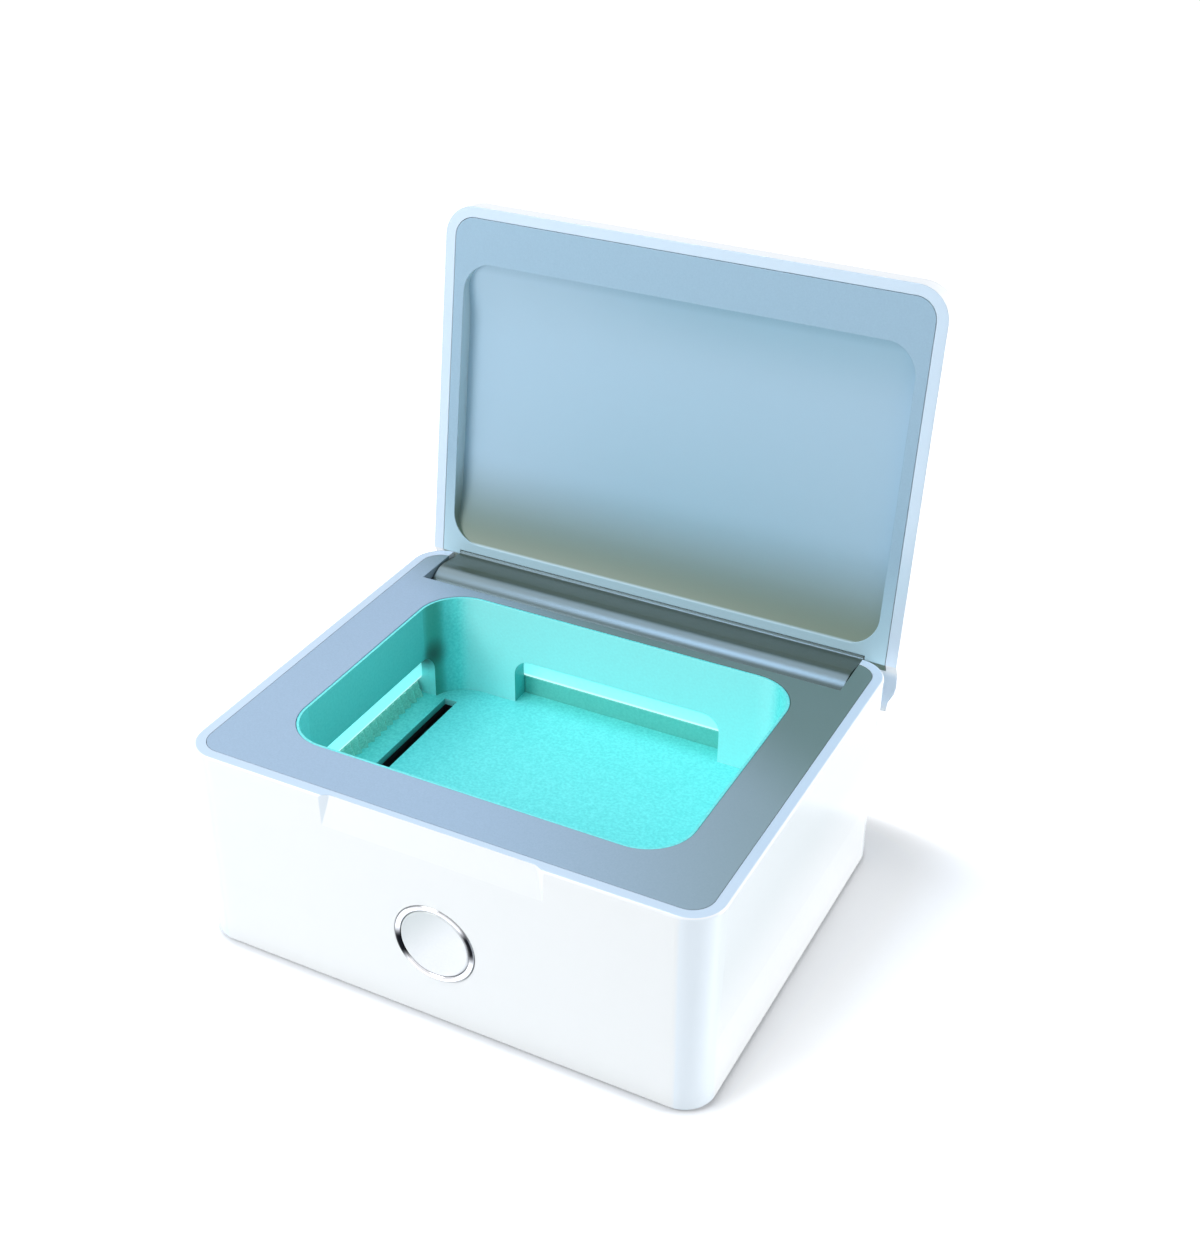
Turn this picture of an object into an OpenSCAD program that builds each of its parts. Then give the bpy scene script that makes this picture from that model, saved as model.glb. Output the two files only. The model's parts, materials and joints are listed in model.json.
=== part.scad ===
// Hearing aid dryer: a warm air and light box with a hinged lid, shown open.
// +X right, +Y back, +Z up. The origin is under the middle of the base, on the surface it stands on.

/* [Body] */
// Width of the base and the lid
body_w = 100; // [94:1:130]
// Depth of the base and the lid, front to back
body_d = 82; // [78:1:110]
// Height of the base shell, from its lower edge to the deck
base_h = 40.6; // [39:0.2:56]
// Wall of the base shell and the lid, and width of the pale rim round the deck
shell_wall = 2.1; // [1.8:0.1:2.6]
// Outer corner radius, seen from above
corner_r = 6.2; // [5:0.1:9]
// How far each side of the base leans in at its lower edge
draft = 0.73; // [0.2:0.01:1.2]
// Radius of the soft edge round the top of the base
rim_edge_r = 0.5; // [0.2:0.05:0.8]
// Height at which the rubber feet hold the base shell
foot_proud = 0.6; // [0.4:0.1:2]

/* [Deck] */
// Thickness of the grey deck plate
deck_t = 1.8; // [1.7:0.1:2.4]
// From the base side to the chamber opening
side_margin = 11.8; // [11.2:0.1:16]
// From the base front to the chamber opening
front_margin = 11.6; // [11.4:0.1:16]
// From the base rear to the chamber opening
rear_margin = 14; // [13.8:0.1:18]
// Corner radius of the chamber opening
opening_r = 9; // [6:0.5:12]
// From the base side to the hinge notch
cheek_margin = 5.9; // [5.6:0.1:8]
// From the base rear to the front edge of the hinge notch
notch_depth = 12.1; // [11.9:0.1:12.6]

/* [Chamber] */
// Depth of the chamber below the deck
chamber_depth = 21.5; // [20:0.5:22]
// Wall of the chamber tub
tub_wall = 1.4; // [1:0.1:1.8]
// Lip of the tub that stands in the deck opening
lip_t = 0.5; // [0.4:0.1:1]
// Thickness of the flange that carries the tub
flange_t = 1.4; // [1.2:0.1:2]
// Length of the niche in the rear wall
rear_niche_len = 44; // [30:1:46]
// From the chamber's front and rear walls to the niche in the left wall
left_niche_inset = 5.6; // [5:0.1:12]
// Height of the two wall niches above the chamber floor
niche_h = 10; // [9:0.1:10.4]
// Radius of the upper corners of a niche
niche_r = 3.5; // [2:0.1:4]
// Depth of the rear niche
rear_niche_depth = 4.7; // [3.6:0.1:4.8]
// Depth of the left niche
left_niche_depth = 3.9; // [3.4:0.1:4.6]
// Wall round a niche
niche_wall = 1; // [0.8:0.1:1.2]
// Width of the air slot in the chamber floor
slot_w = 2.8; // [2:0.1:4]
// From the left chamber wall to the air slot
slot_inset = 2.6; // [2:0.1:4]

/* [Lights] */
// Thickness of a light cover
cover_lens_t = 1.3; // [0.8:0.1:1.6]
// Radius of the rounded lower edge of a light cover
nose_r = 1.1; // [0.4:0.1:1.2]
// Height of the rear light cover's lower edge above the chamber floor
rear_nose_h = 3.9; // [3:0.1:5]
// Height of the left light cover's lower edge above the chamber floor
left_nose_h = 3.1; // [3:0.1:5]
// Thickness of a light strip's board
strip_t = 0.8; // [0.6:0.1:1]
// Height of a light strip's board
strip_h = 4.4; // [3:0.1:4.6]
// Number of diodes on a light strip
strip_leds = 8; // [4:1:10]
// Pitch of the filter's pleats
pleat_pitch = 1.1; // [0.8:0.1:2]
// Depth of the filter's pleats
pleat_depth = 0.8; // [0.4:0.1:1]

/* [Lid] */
// Thickness of the lid
lid_t = 6; // [6:0.1:9]
// Radius of the lid's outer edge
lid_edge_r = 1.9; // [1:0.1:2.5]
// Top wall of the lid shell
lid_top_t = 1.6; // [1.2:0.1:1.6]
// Thickness of the inner panel
panel_t = 1.2; // [1:0.1:1.3]
// Depth of the dish in the inner panel
dish_depth = 3; // [2:0.1:3]
// Radius at which the dish floor rises to its front and rear ends
dish_roll_r = 34; // [20:1:60]
// Corner radius of the dish
dish_r = 6.2; // [3:0.1:10]
// From the lid side to the dish
dish_side = 4.4; // [4.3:0.1:10]
// From the lid front to the dish
dish_front = 10.7; // [10:0.1:20]
// From the lid rear to the dish
dish_rear = 13.4; // [13.2:0.1:24]
// Gap between the closed lid and the deck
lid_gap = 0.3; // [0.2:0.05:0.6]

/* [Hinge] */
// How far the lid opens, in degrees
open_angle = 98; // [60:1:98]
// From the base rear to the hinge axis
axis_back = 5.25; // [5.1:0.05:5.3]
// From the deck down to the hinge axis
axis_drop = 5.9; // [5.85:0.05:6.1]
// Radius of the hinge barrel
barrel_r = 5.7; // [5.2:0.1:5.8]
// Wall of the hinge barrel
barrel_wall = 1.5; // [1.2:0.1:1.8]
// Gap between each end of the barrel and the deck's cheek
barrel_gap = 0.4; // [0.3:0.05:0.8]
// Part of a turn that the barrel's skin covers, in degrees
skin_angle = 80; // [60:5:90]
// Thickness of the barrel's end plates
end_plate_t = 2.4; // [2:0.1:4]
// Lip of the barrel that closes the panel's rear edge
barrel_lip = 0.55; // [0.3:0.05:0.8]
// Thickness of the barrel's flange under the lid
barrel_flange_t = 2.6; // [2.4:0.1:3]
// Radius of the hinge pins
pin_r = 1.25; // [1:0.05:1.3]
// Wall of the hinge bushes
bush_wall = 0.65; // [0.5:0.05:0.7]
// Thickness of the cheeks under the deck that hold the hinge pins
cheek_t = 2.2; // [2:0.1:2.8]

/* [Front] */
// Width of the finger scoop at its floor
scoop_w = 39; // [24:1:50]
// Height of the finger scoop
scoop_h = 7.1; // [4:0.1:9]
// Depth of the finger scoop at the rim
scoop_depth = 0.85; // [0.4:0.05:1.2]
// Width of the scoop's slanted ends
scoop_side = 1.7; // [1:0.1:4]
// Height of the button's centre above the lower edge of the base
button_h = 16.7; // [15:0.1:18]
// Outer radius of the button ring
ring_r = 7.8; // [7:0.1:8.4]
// Width of the button ring's face
ring_face = 1.05; // [0.8:0.05:1.3]
// Height of the ring's rounded face above its edges
ring_crown = 0.3; // [0.1:0.05:0.35]
// How far the ring stands proud of the front
ring_proud = 0.35; // [0.2:0.05:0.8]
// Travel of the button
button_travel = 0.8; // [0.4:0.1:0.9]
// Depth of the dish in the button cap
cap_dish = 0.35; // [0.1:0.05:0.5]

/* [Inside] */
// Thickness of the bottom cover
cover_t = 2.2; // [2:0.1:2.6]
// Thickness of the circuit boards
board_t = 1.6; // [1:0.1:1.8]
// Height of the posts under the control board
post_h = 3; // [2.4:0.1:4]
// Side of the square blower
fan_w = 40; // [36:1:42]
// Thickness of the blower
fan_t = 10.4; // [10:0.1:10.6]
// Wall of the blower housing
fan_wall = 1.2; // [1:0.1:1.4]
// Radius of the blower rotor
rotor_r = 14.5; // [12:0.5:16]
// Length of a rotor blade along the radius
blade_reach = 3.6; // [2.5:0.1:4.5]
// Number of blades on the blower rotor
rotor_blades = 21; // [9:1:31]
// Radius of the bosses that take the cover screws and the tub screws
boss_r = 3; // [2.8:0.1:3.2]
// Radius of a screw's shank
screw_r = 1.05; // [0.9:0.05:1.2]
// Radius of a screw's head
screw_head_r = 2; // [1.8:0.1:2.2]
// Height of a screw's head
screw_head_h = 1.1; // [0.9:0.1:1.2]
// Radius of a rubber foot
foot_r = 4.5; // [3.5:0.1:5]
// Thickness of a rubber foot
foot_t = 1.6; // [1.4:0.1:2.4]

/* [Hidden] */
$fn = 64;

// Clearances: between seated pieces, round a running shaft, and the overlap of a cut past a face
fit = 0.1;
run_fit = 0.06;
pin_fit = 0.01;
cut = 1;

// Base, deck and chamber
side_x = body_w / 2;
front_y = -body_d / 2;
rear_y = body_d / 2;
z0 = foot_proud;
deck_z = z0 + base_h;
deck_under = deck_z - deck_t;
flange_under = deck_under - flange_t;
inner_r = corner_r - shell_wall;
open_x = side_x - side_margin;
open_y0 = front_y + front_margin;
open_y1 = rear_y - rear_margin;
open_cy = (open_y0 + open_y1) / 2;
open_d = open_y1 - open_y0;
cav_in = fit + lip_t;
cav_x = open_x - cav_in;
cav_y0 = open_y0 + cav_in;
cav_y1 = open_y1 - cav_in;
cav_r = opening_r - cav_in;
floor_z = deck_z - chamber_depth;
tub_under = floor_z - tub_wall;
cover_top = z0 + cover_t;
slot_x = -cav_x + slot_inset + slot_w / 2;
left_niche_len = cav_y1 - cav_y0 - 2 * left_niche_inset;
window_inset = 3;
window_sill = 0.8;
window_h = strip_h - 1.4;

// Ledge and ribs inside the base shell
ledge_h = 3;
ledge_w = 1;
rib_t = 1.6;
shadow_gap = 0.1;

// Hinge, written from the axis with the lid closed
axis_y = rear_y - axis_back;
axis_z = deck_z - axis_drop;
lid_rise = axis_drop + lid_gap;
notch_x = side_x - cheek_margin;
notch_y = rear_y - notch_depth;
barrel_x = notch_x - barrel_gap;
bush_r = pin_r + run_fit + bush_wall;
knuckle_r = bush_r + 0.7;
cheek_r = pin_r + 1.6;
cheek_in = fit + draft * (axis_drop + cheek_r) / base_h;
pin_len = cheek_t + barrel_gap + end_plate_t;
relief_r = sqrt(axis_back * axis_back + axis_drop * axis_drop) + 0.45;
notch_drop = 3.3;
plate_z = (axis_back - shell_wall) * sin(open_angle) + (axis_drop - notch_drop) * cos(open_angle) - 0.45;
web_z = lid_rise;
lid_front = front_y - axis_y;
lid_rear = axis_back;
lid_cy = (lid_front + lid_rear) / 2;
panel_rear = -barrel_r - barrel_lip - fit;

flange_reach = axis_back - shell_wall - fit;
barrel_screw_spots = [for (i = [-4, -1, 1, 4]) i * barrel_x / 6];
barrel_rib_spots = [for (i = [-5, -3, 0, 3, 5]) i * barrel_x / 6];
ear_rear = -3.6;
relief_wall = 1.2;

// Lid panel, its dish and the magnet behind it
dish_y0 = lid_front + dish_front;
dish_y1 = lid_rear - dish_rear;
lid_ledge_w = 1;
lid_boss_r = 2.6;
magnet_r = 2.5;
magnet_h = 2.2;
magnet_y = lid_front + shell_wall + magnet_r + 1.8;

// Fasteners and bosses
head_sink = screw_head_h + 0.1;
head_seat_r = screw_head_r + 0.3;
pass_r = screw_r + 0.2;
pilot_r = screw_r + fit / 2;
pilot_spare = 2;
cover_screw_len = 8;
tub_screw_len = 8;
fan_screw_len = 5;
fan_pilot = 1.6;
board_screw_len = 4.6;
barrel_screw_len = 4.4;
front_boss_y = front_y + shell_wall + boss_r + 1.6;
rear_boss_y = open_y1 - boss_r + 1.2;
boss_x = side_x - shell_wall - boss_r - 0.9;
boss_spots = [for (sx = [-1, 1], y = [front_boss_y, rear_boss_y]) [sx * boss_x, y]];
foot_side = 3 * foot_r;
foot_end = foot_r + 2;
foot_spots = [for (sx = [-1, 1], sy = [-1, 1])
    [sx * (side_x - shell_wall - foot_side), sy * (rear_y - shell_wall - draft - foot_end)]];

// Button and its switch, from the front inwards
wall_front = front_y + draft * (1 - button_h / base_h);
button_z = z0 + button_h;
ring_front = wall_front - ring_proud;
ring_seat = 0.55;
sleeve_end = wall_front + shell_wall + 0.7;
cap_r = ring_r - ring_face - 0.1;
cap_front = ring_front + 0.15;
cap_back = sleeve_end + 0.15;
cap_flange_t = 0.7;
cap_edge_r = 0.4;
cap_joint = 0.1;
stem_wall = 0.4;
sleeve_wall = 0.6;
cap_flange_r = cap_r + fit + sleeve_wall;
tub_front = cav_y0 - tub_wall;
board_y = tub_front - 1 - board_t;
switch_h = 2;
switch_y = board_y - switch_h;
button_board_w = 22;
board_rest = 0.6;
board_guide_h = 5;
guide_w = 3;
guide_wall = 1.2;
plunger_r = 1.6;
plunger_in = 0.7;
sensor_w = 4;
sensor_t = 1.4;
sensor_h = 3;
sensor_drop = 6;
stem_end = switch_y - button_travel - 0.35;

// Pleated filter: how far it leans back from upright, its paper, and its foot behind the niche's edge
filter_lean = 20;
filter_t = 0.4;
filter_foot = 1.6;
led_w = 2;

// Blower, duct and heater
fan_left = -20;
fan_x = fan_left + fan_w / 2;
fan_z = cover_top;
fan_ear = 2.3;
fan_ear_r = 3.6;
fan_ear_h = 3;
fan_ear_spots = [for (s = [-1, 1]) [fan_x + s * (fan_w / 2 - 4), -s * (fan_w / 2 + fan_ear)]];
fan_outlet = [-15, 3];
fan_eye_r = rotor_r - 4;
motor_r = 4.6;
motor_h = 4;
hub_r = 6.2;
hub_wall = 1.2;
blade_r = 7;
blade_t = 0.6;
rotor_plate_t = 0.8;
duct_wall = 1.2;
duct_x0 = slot_x - slot_w / 2 - duct_wall - 0.4;
duct_x1 = fan_left;
duct_knee = slot_x + slot_w / 2 + duct_wall + 1;
duct_y0 = open_cy - left_niche_len / 2 - duct_wall;
duct_y1 = open_cy + left_niche_len / 2 + duct_wall;
heater_x0 = duct_knee + 0.6;
heater_x1 = duct_x1 - duct_wall - 0.8;
heater_rail = 1.6;
heater_fin_t = 0.5;
heater_fin_pitch = 1.85;

// Control board on the right and the inlet behind it
board_x0 = fan_x + fan_w / 2 + 2.4;
board_x1 = side_x - shell_wall - draft - 1.6;
board_y0 = open_y0 + 4.4;
board_y1 = rear_y - shell_wall - draft - 1.2;
board_top = cover_top + post_h + board_t;
post_r = 2.2;
post_side = 3;
post_front = 3.5;
post_rear = 18;
post_spots = [for (x = [board_x0 + post_side, board_x1 - post_side],
    y = [board_y0 + post_front, board_y1 - post_rear]) [x, y]];
chip_w = 8;
chip_h = 1.2;
chip_in = 21;
chip_y = board_y0 + chip_in;
capacitor_r = 3.1;
capacitor_h = tub_under - board_top - 2.9;
capacitor_in = 7;
capacitor_pitch = 26;
capacitor_side = 2;
capacitor_spots = [for (i = [0, 1]) board_y0 + capacitor_in + i * capacitor_pitch];
inlet_x = (board_x0 + board_x1) / 2;
inlet_w = 9;
inlet_h = 8.6;
inlet_bore = 3;
inlet_wall = 0.7;
inlet_depth = 9;
inlet_pin_r = 0.8;
inlet_pin_len = 6.5;
inlet_back = rear_y - shell_wall - draft - fit - shadow_gap;
inlet_front = cav_y1 + tub_wall + 0.5;
inlet_mouth = rear_y - draft * (1 - (board_top - z0) / base_h) - 0.5;

// Intake slots in the bottom cover: how many on each side of the middle one, pitch and width
intake_side = 3;
intake_pitch = 3;
intake_w = 1.6;

// Exhaust slots in the rear wall
exhaust_count = 9;
exhaust_pitch = 4;
exhaust_w = 1.6;
exhaust_h = 8.4;
exhaust_in = 14;
exhaust_x = -side_x + exhaust_in;
exhaust_z = 6.8;

// Plan of a rounded rectangle
module rounded_plan(w, d, r) {
    square([w - 2 * r, d], center = true);
    square([w, d - 2 * r], center = true);
    for (sx = [-1, 1], sy = [-1, 1]) translate([sx * (w / 2 - r), sy * (d / 2 - r)]) circle(r);
}

// Plan of the hollow inside the shell's walls, made smaller all round by a gap
module inner_plan(gap) {
    rounded_plan(body_w - 2 * shell_wall - 2 * gap, body_d - 2 * shell_wall - 2 * gap, inner_r - gap);
}

// Rounded block whose four sides lean in towards its lower edge, with a soft upper edge
module drafted_block(w, d, h, r, lean, edge) {
    for (sx = [-1, 1], sy = [-1, 1]) translate([sx * (w / 2 - r), sy * (d / 2 - r), 0])
        rotate_extrude() drafted_section(r, h, lean, edge);
    translate([w / 2 - r, 0, 0]) rotate([90, 0, -90]) linear_extrude(w - 2 * r) {
        drafted_section(d / 2, h, lean, edge);
        mirror([1, 0]) drafted_section(d / 2, h, lean, edge);
    }
    translate([0, d / 2 - r, 0]) rotate([90, 0, 0]) linear_extrude(d - 2 * r) {
        drafted_section(w / 2, h, lean, edge);
        mirror([1, 0]) drafted_section(w / 2, h, lean, edge);
    }
}

// Block that stays inside the shell's outer faces by a gap
module shell_block(gap, h) {
    drafted_block(body_w - 2 * gap, body_d - 2 * gap, h, corner_r - gap, draft, 0);
}

// Half section of the drafted block, from its middle out to its leaning side
module drafted_section(reach, h, lean, edge) {
    polygon([[0, 0], [reach - lean, 0], [reach, h - edge], [0, h - edge]]);
    if (edge > 0) {
        square([reach - edge, h]);
        translate([reach - edge, h - edge]) intersection() {
            circle(edge);
            square(edge);
        }
    }
}

// Rounded slab whose upper edge is rounded all the way round
module soft_slab(w, d, h, r, edge) {
    for (sx = [-1, 1], sy = [-1, 1]) translate([sx * (w / 2 - r), sy * (d / 2 - r), 0]) rotate_extrude()
        soft_section(r, h, edge);
    translate([w / 2 - r, 0, 0]) rotate([90, 0, -90]) linear_extrude(w - 2 * r) {
        soft_section(d / 2, h, edge);
        mirror([1, 0]) soft_section(d / 2, h, edge);
    }
    translate([0, d / 2 - r, 0]) rotate([90, 0, 0]) linear_extrude(d - 2 * r) {
        soft_section(w / 2, h, edge);
        mirror([1, 0]) soft_section(w / 2, h, edge);
    }
}

// Half section of the soft slab, from its middle out to its rounded edge
module soft_section(reach, h, edge) {
    square([reach - edge, h]);
    square([reach, h - edge]);
    intersection() {
        translate([reach - edge, h - edge]) circle(edge);
        square([reach, h]);
    }
}

// Front view of a niche: straight sides, a flat foot and rounded upper corners
module arch(len, h, r) {
    translate([-len / 2, 0]) square([len, h - r]);
    translate([-len / 2 + r, 0]) square([len - 2 * r, h]);
    for (s = [-1, 1]) translate([s * (len / 2 - r), h - r]) circle(r);
}

// Turns a flat outline into a solid that faces the front, with its back at y
module facing_front(y, depth) {
    translate([0, y, 0]) rotate([90, 0, 0]) linear_extrude(depth) children();
}

// Turns a flat outline into a solid along X, outline X to Y and outline Y to Z
module along_x(x, len) {
    translate([x, 0, 0]) rotate([90, 0, 90]) linear_extrude(len) children();
}

// Carries its children from the closed lid's hinge frame to the open lid
module open_lid() {
    translate([0, axis_y, axis_z]) rotate([-open_angle, 0, 0]) children();
}

// Self-tapping screw with its head below and its shank up
module screw_up(len) {
    cylinder(h = screw_head_h, r = screw_head_r);
    cylinder(h = len, r = screw_r);
}

module base_shell() {
    color("#f4f8fc") difference() {
        union() {
            translate([0, 0, z0]) difference() {
                drafted_block(body_w, body_d, base_h, corner_r, draft, rim_edge_r);
                translate([0, 0, -cut]) shell_block(shell_wall, base_h + 2 * cut);
            }
            intersection() {
                shell_ledge_and_bosses();
                translate([0, 0, z0]) shell_block(shell_wall / 2, base_h);
            }
        }
        translate([-notch_x, rear_y - shell_wall - cut, deck_z - notch_drop])
            cube([2 * notch_x, shell_wall + 2 * cut, notch_drop + cut]);
        finger_scoop();
        translate([0, front_y - cut, button_z]) rotate([-90, 0, 0])
            cylinder(h = wall_front - front_y + cut + ring_seat, r = ring_r + fit);
        translate([0, front_y - cut, button_z]) rotate([-90, 0, 0])
            cylinder(h = shell_wall + draft + 2 * cut, r = cap_flange_r + fit);
        for (p = boss_spots) translate([p[0], p[1], cover_top - cut])
            cylinder(h = cover_screw_len + pilot_spare + cut, r = pilot_r);
        for (p = boss_spots) translate([p[0], p[1], flange_under - tub_screw_len])
            cylinder(h = tub_screw_len + cut, r = pilot_r);
        translate([inlet_x, rear_y - shell_wall - draft - cut, board_top + inlet_h / 2]) rotate([-90, 0, 0])
            cylinder(h = shell_wall + 2 * draft + 2 * cut, r = inlet_bore + inlet_wall + fit);
        exhaust_slots();
    }
}

// Ledge for the tub flange, and the four bosses in the corners
module shell_ledge_and_bosses() {
    ledge_z = flange_under - ledge_h;
    reach = shell_wall + ledge_w;
    difference() {
        translate([0, 0, ledge_z]) linear_extrude(ledge_h) rounded_plan(body_w, body_d, corner_r);
        translate([0, 0, ledge_z - cut]) linear_extrude(ledge_h + 2 * cut)
            rounded_plan(body_w - 2 * reach, body_d - 2 * reach, inner_r - ledge_w);
        translate([-side_x, open_y1 + 0.5, ledge_z - cut]) cube([body_w, body_d, ledge_h + 2 * cut]);
    }
    for (p = boss_spots) {
        translate([p[0], p[1], cover_top]) cylinder(h = flange_under - cover_top, r = boss_r);
        translate([p[0] > 0 ? p[0] : -side_x, p[1] - rib_t / 2, cover_top])
            cube([side_x - abs(p[0]), rib_t, flange_under - cover_top]);
    }
}

// Finger scoop under the front edge of the lid: a wedge with slanted ends
module finger_scoop() {
    intersection() {
        translate([0, front_y, deck_z - scoop_h - cut]) linear_extrude(scoop_h + 2 * cut)
            polygon([[-scoop_w / 2 - scoop_side, -cut], [-scoop_w / 2 - scoop_side, 0],
                [-scoop_w / 2, scoop_depth], [scoop_w / 2, scoop_depth],
                [scoop_w / 2 + scoop_side, 0], [scoop_w / 2 + scoop_side, -cut]]);
        along_x(-side_x, body_w) polygon([[front_y - cut, deck_z - scoop_h],
            [front_y, deck_z - scoop_h], [front_y + scoop_depth, deck_z],
            [front_y + scoop_depth, deck_z + cut], [front_y - cut, deck_z + cut]]);
    }
}

// Upright slots low in the rear wall let the warm air of the housing out
module exhaust_slots() {
    for (i = [0:exhaust_count - 1]) translate([exhaust_x + i * exhaust_pitch, 0, z0 + exhaust_z])
        facing_front(rear_y + cut, shell_wall + draft + 2 * cut) {
            translate([-exhaust_w / 2, 0]) square([exhaust_w, exhaust_h]);
            for (z = [0, exhaust_h]) translate([0, z]) circle(exhaust_w / 2);
        }
}

// Deck: a plate with the chamber opening and the hinge notch, and a cheek at each end of the notch
module deck_plate() {
    color("#94aab8") difference() {
        union() {
            difference() {
                translate([0, 0, deck_under]) linear_extrude(deck_t) inner_plan(fit);
                translate([-notch_x, notch_y, deck_under - cut])
                    cube([2 * notch_x, body_d, deck_t + 2 * cut]);
            }
            intersection() {
                for (s = [-1, 1]) hinge_cheek(s > 0 ? notch_x : -notch_x - cheek_t);
                translate([0, 0, axis_z - cheek_r]) linear_extrude(axis_drop + cheek_r) inner_plan(cheek_in);
            }
        }
        translate([0, open_cy, deck_under - cut]) linear_extrude(deck_t + 2 * cut)
            rounded_plan(2 * open_x, open_d, opening_r);
        for (p = boss_spots) translate([p[0], p[1], deck_under - cut])
            cylinder(h = cut + head_sink, r = head_seat_r);
        translate([-side_x, axis_y, axis_z]) rotate([0, 90, 0]) cylinder(h = body_w, r = pin_r + pin_fit);
    }
}

// Cheek: it hangs from the deck and ends in a half round about the hinge axis
module hinge_cheek(x) {
    along_x(x, cheek_t) translate([axis_y, axis_z]) {
        circle(cheek_r);
        translate([-cheek_r, 0]) square([2 * cheek_r, axis_drop - fit]);
    }
}

module chamber_tub() {
    color("#63ddd9") difference() {
        union() {
            translate([0, open_cy, tub_under]) linear_extrude(deck_under - tub_under)
                rounded_plan(2 * cav_x + 2 * tub_wall, cav_y1 - cav_y0 + 2 * tub_wall, cav_r + tub_wall);
            translate([0, open_cy, flange_under]) linear_extrude(deck_z - shadow_gap - flange_under)
                rounded_plan(2 * open_x - 2 * fit, open_d - 2 * fit, opening_r - fit);
            tub_flange();
            facing_front(cav_y1 + rear_niche_depth + niche_wall, rear_niche_depth)
                niche_outside(rear_niche_len);
            along_x(-cav_x - left_niche_depth - niche_wall, left_niche_depth) translate([open_cy, 0])
                niche_outside(left_niche_len);
        }
        translate([0, open_cy, floor_z]) linear_extrude(chamber_depth + cut)
            rounded_plan(2 * cav_x, cav_y1 - cav_y0, cav_r);
        facing_front(cav_y1 + rear_niche_depth, rear_niche_depth + cut) translate([0, floor_z])
            arch(rear_niche_len, niche_h, niche_r);
        along_x(-cav_x - left_niche_depth, left_niche_depth + cut) translate([open_cy, floor_z])
            arch(left_niche_len, niche_h, niche_r);
        facing_front(cav_y1 + rear_niche_depth + niche_wall + cut, niche_wall + 2 * cut)
            translate([0, floor_z + rear_nose_h + window_sill]) strip_window(rear_niche_len);
        along_x(-cav_x - left_niche_depth - niche_wall - cut, niche_wall + 2 * cut)
            translate([open_cy, floor_z + left_nose_h + window_sill]) strip_window(left_niche_len);
        translate([slot_x - slot_w / 2, open_cy - left_niche_len / 2, tub_under - cut])
            cube([slot_w, left_niche_len, tub_wall + 2 * cut]);
        translate([-body_w, axis_y, axis_z]) rotate([0, 90, 0])
            cylinder(h = 2 * body_w, r = barrel_r + 0.35);
    }
}

// Outline of the housing round a niche, from the underside of the chamber floor
module niche_outside(len) {
    translate([0, tub_under])
        arch(len + 2 * niche_wall, niche_h + tub_wall + niche_wall, niche_r + niche_wall);
}

// Window in a niche's wall, through which a light strip shines
module strip_window(len) {
    translate([-len / 2 + window_inset, 0]) square([len - 2 * window_inset, window_h]);
}

// Flange that rests on the shell's ledge and carries the deck plate
module tub_flange() {
    difference() {
        translate([0, 0, flange_under]) linear_extrude(flange_t) inner_plan(fit);
        translate([-side_x, cav_y1 + tub_wall, flange_under - cut])
            cube([body_w, body_d, flange_t + 2 * cut]);
        for (p = boss_spots) translate([p[0], p[1], flange_under - cut])
            cylinder(h = flange_t + 2 * cut, r = pass_r);
    }
}

// Solid drawn in a niche's own frame: X along the niche, Y up from the floor, Z out of its back wall
module in_rear_niche() {
    translate([0, cav_y1 + rear_niche_depth, floor_z]) rotate([90, 0, 0]) children();
}

module in_left_niche() {
    translate([-cav_x - left_niche_depth, open_cy, floor_z]) rotate([90, 0, 90]) children();
}

// Light cover: a plate of the niche's outline with a rounded lower edge
module light_cover(len, nose_h) {
    intersection() {
        linear_extrude(cover_lens_t) arch(len - 2 * fit, niche_h - fit, niche_r - fit);
        translate([len / 2, 0, 0]) rotate([0, -90, 0]) linear_extrude(len) {
            translate([0, nose_h]) square([cover_lens_t - nose_r, niche_h]);
            translate([0, nose_h + nose_r]) square([cover_lens_t, niche_h]);
            translate([cover_lens_t - nose_r, nose_h + nose_r]) circle(nose_r);
        }
    }
}

// Light strip: a narrow board behind the niche's window, with its diodes in the window
module light_strip(len, nose_h) {
    led_run = len - 2 * window_inset - 2 * led_w;
    led_pitch = led_run / (strip_leds - 1);
    translate([-len / 2 + 1, nose_h + 0.2, -niche_wall - strip_t]) cube([len - 2, strip_h, strip_t]);
    for (i = [0:strip_leds - 1])
        translate([i * led_pitch - (led_run + led_w) / 2, nose_h + window_sill + 0.3, -niche_wall - 0.01])
            cube([led_w, led_w, niche_wall - 0.2]);
}

module rear_light_cover() {
    color("#8ffcff") in_rear_niche() light_cover(rear_niche_len, rear_nose_h);
}

module rear_light_carrier() {
    color("#57c4be") in_rear_niche() translate([-rear_niche_len / 2 + fit, 0, 0])
        cube([rear_niche_len - 2 * fit, rear_nose_h, cover_lens_t - 0.5]);
}

module rear_light_strip() {
    color("#2f6b4a") in_rear_niche() light_strip(rear_niche_len, rear_nose_h);
}

module left_light_cover() {
    color("#9dfdff") in_left_niche() light_cover(left_niche_len, left_nose_h);
}

module left_light_strip() {
    color("#2f6b4a") in_left_niche() light_strip(left_niche_len, left_nose_h);
}

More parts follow.
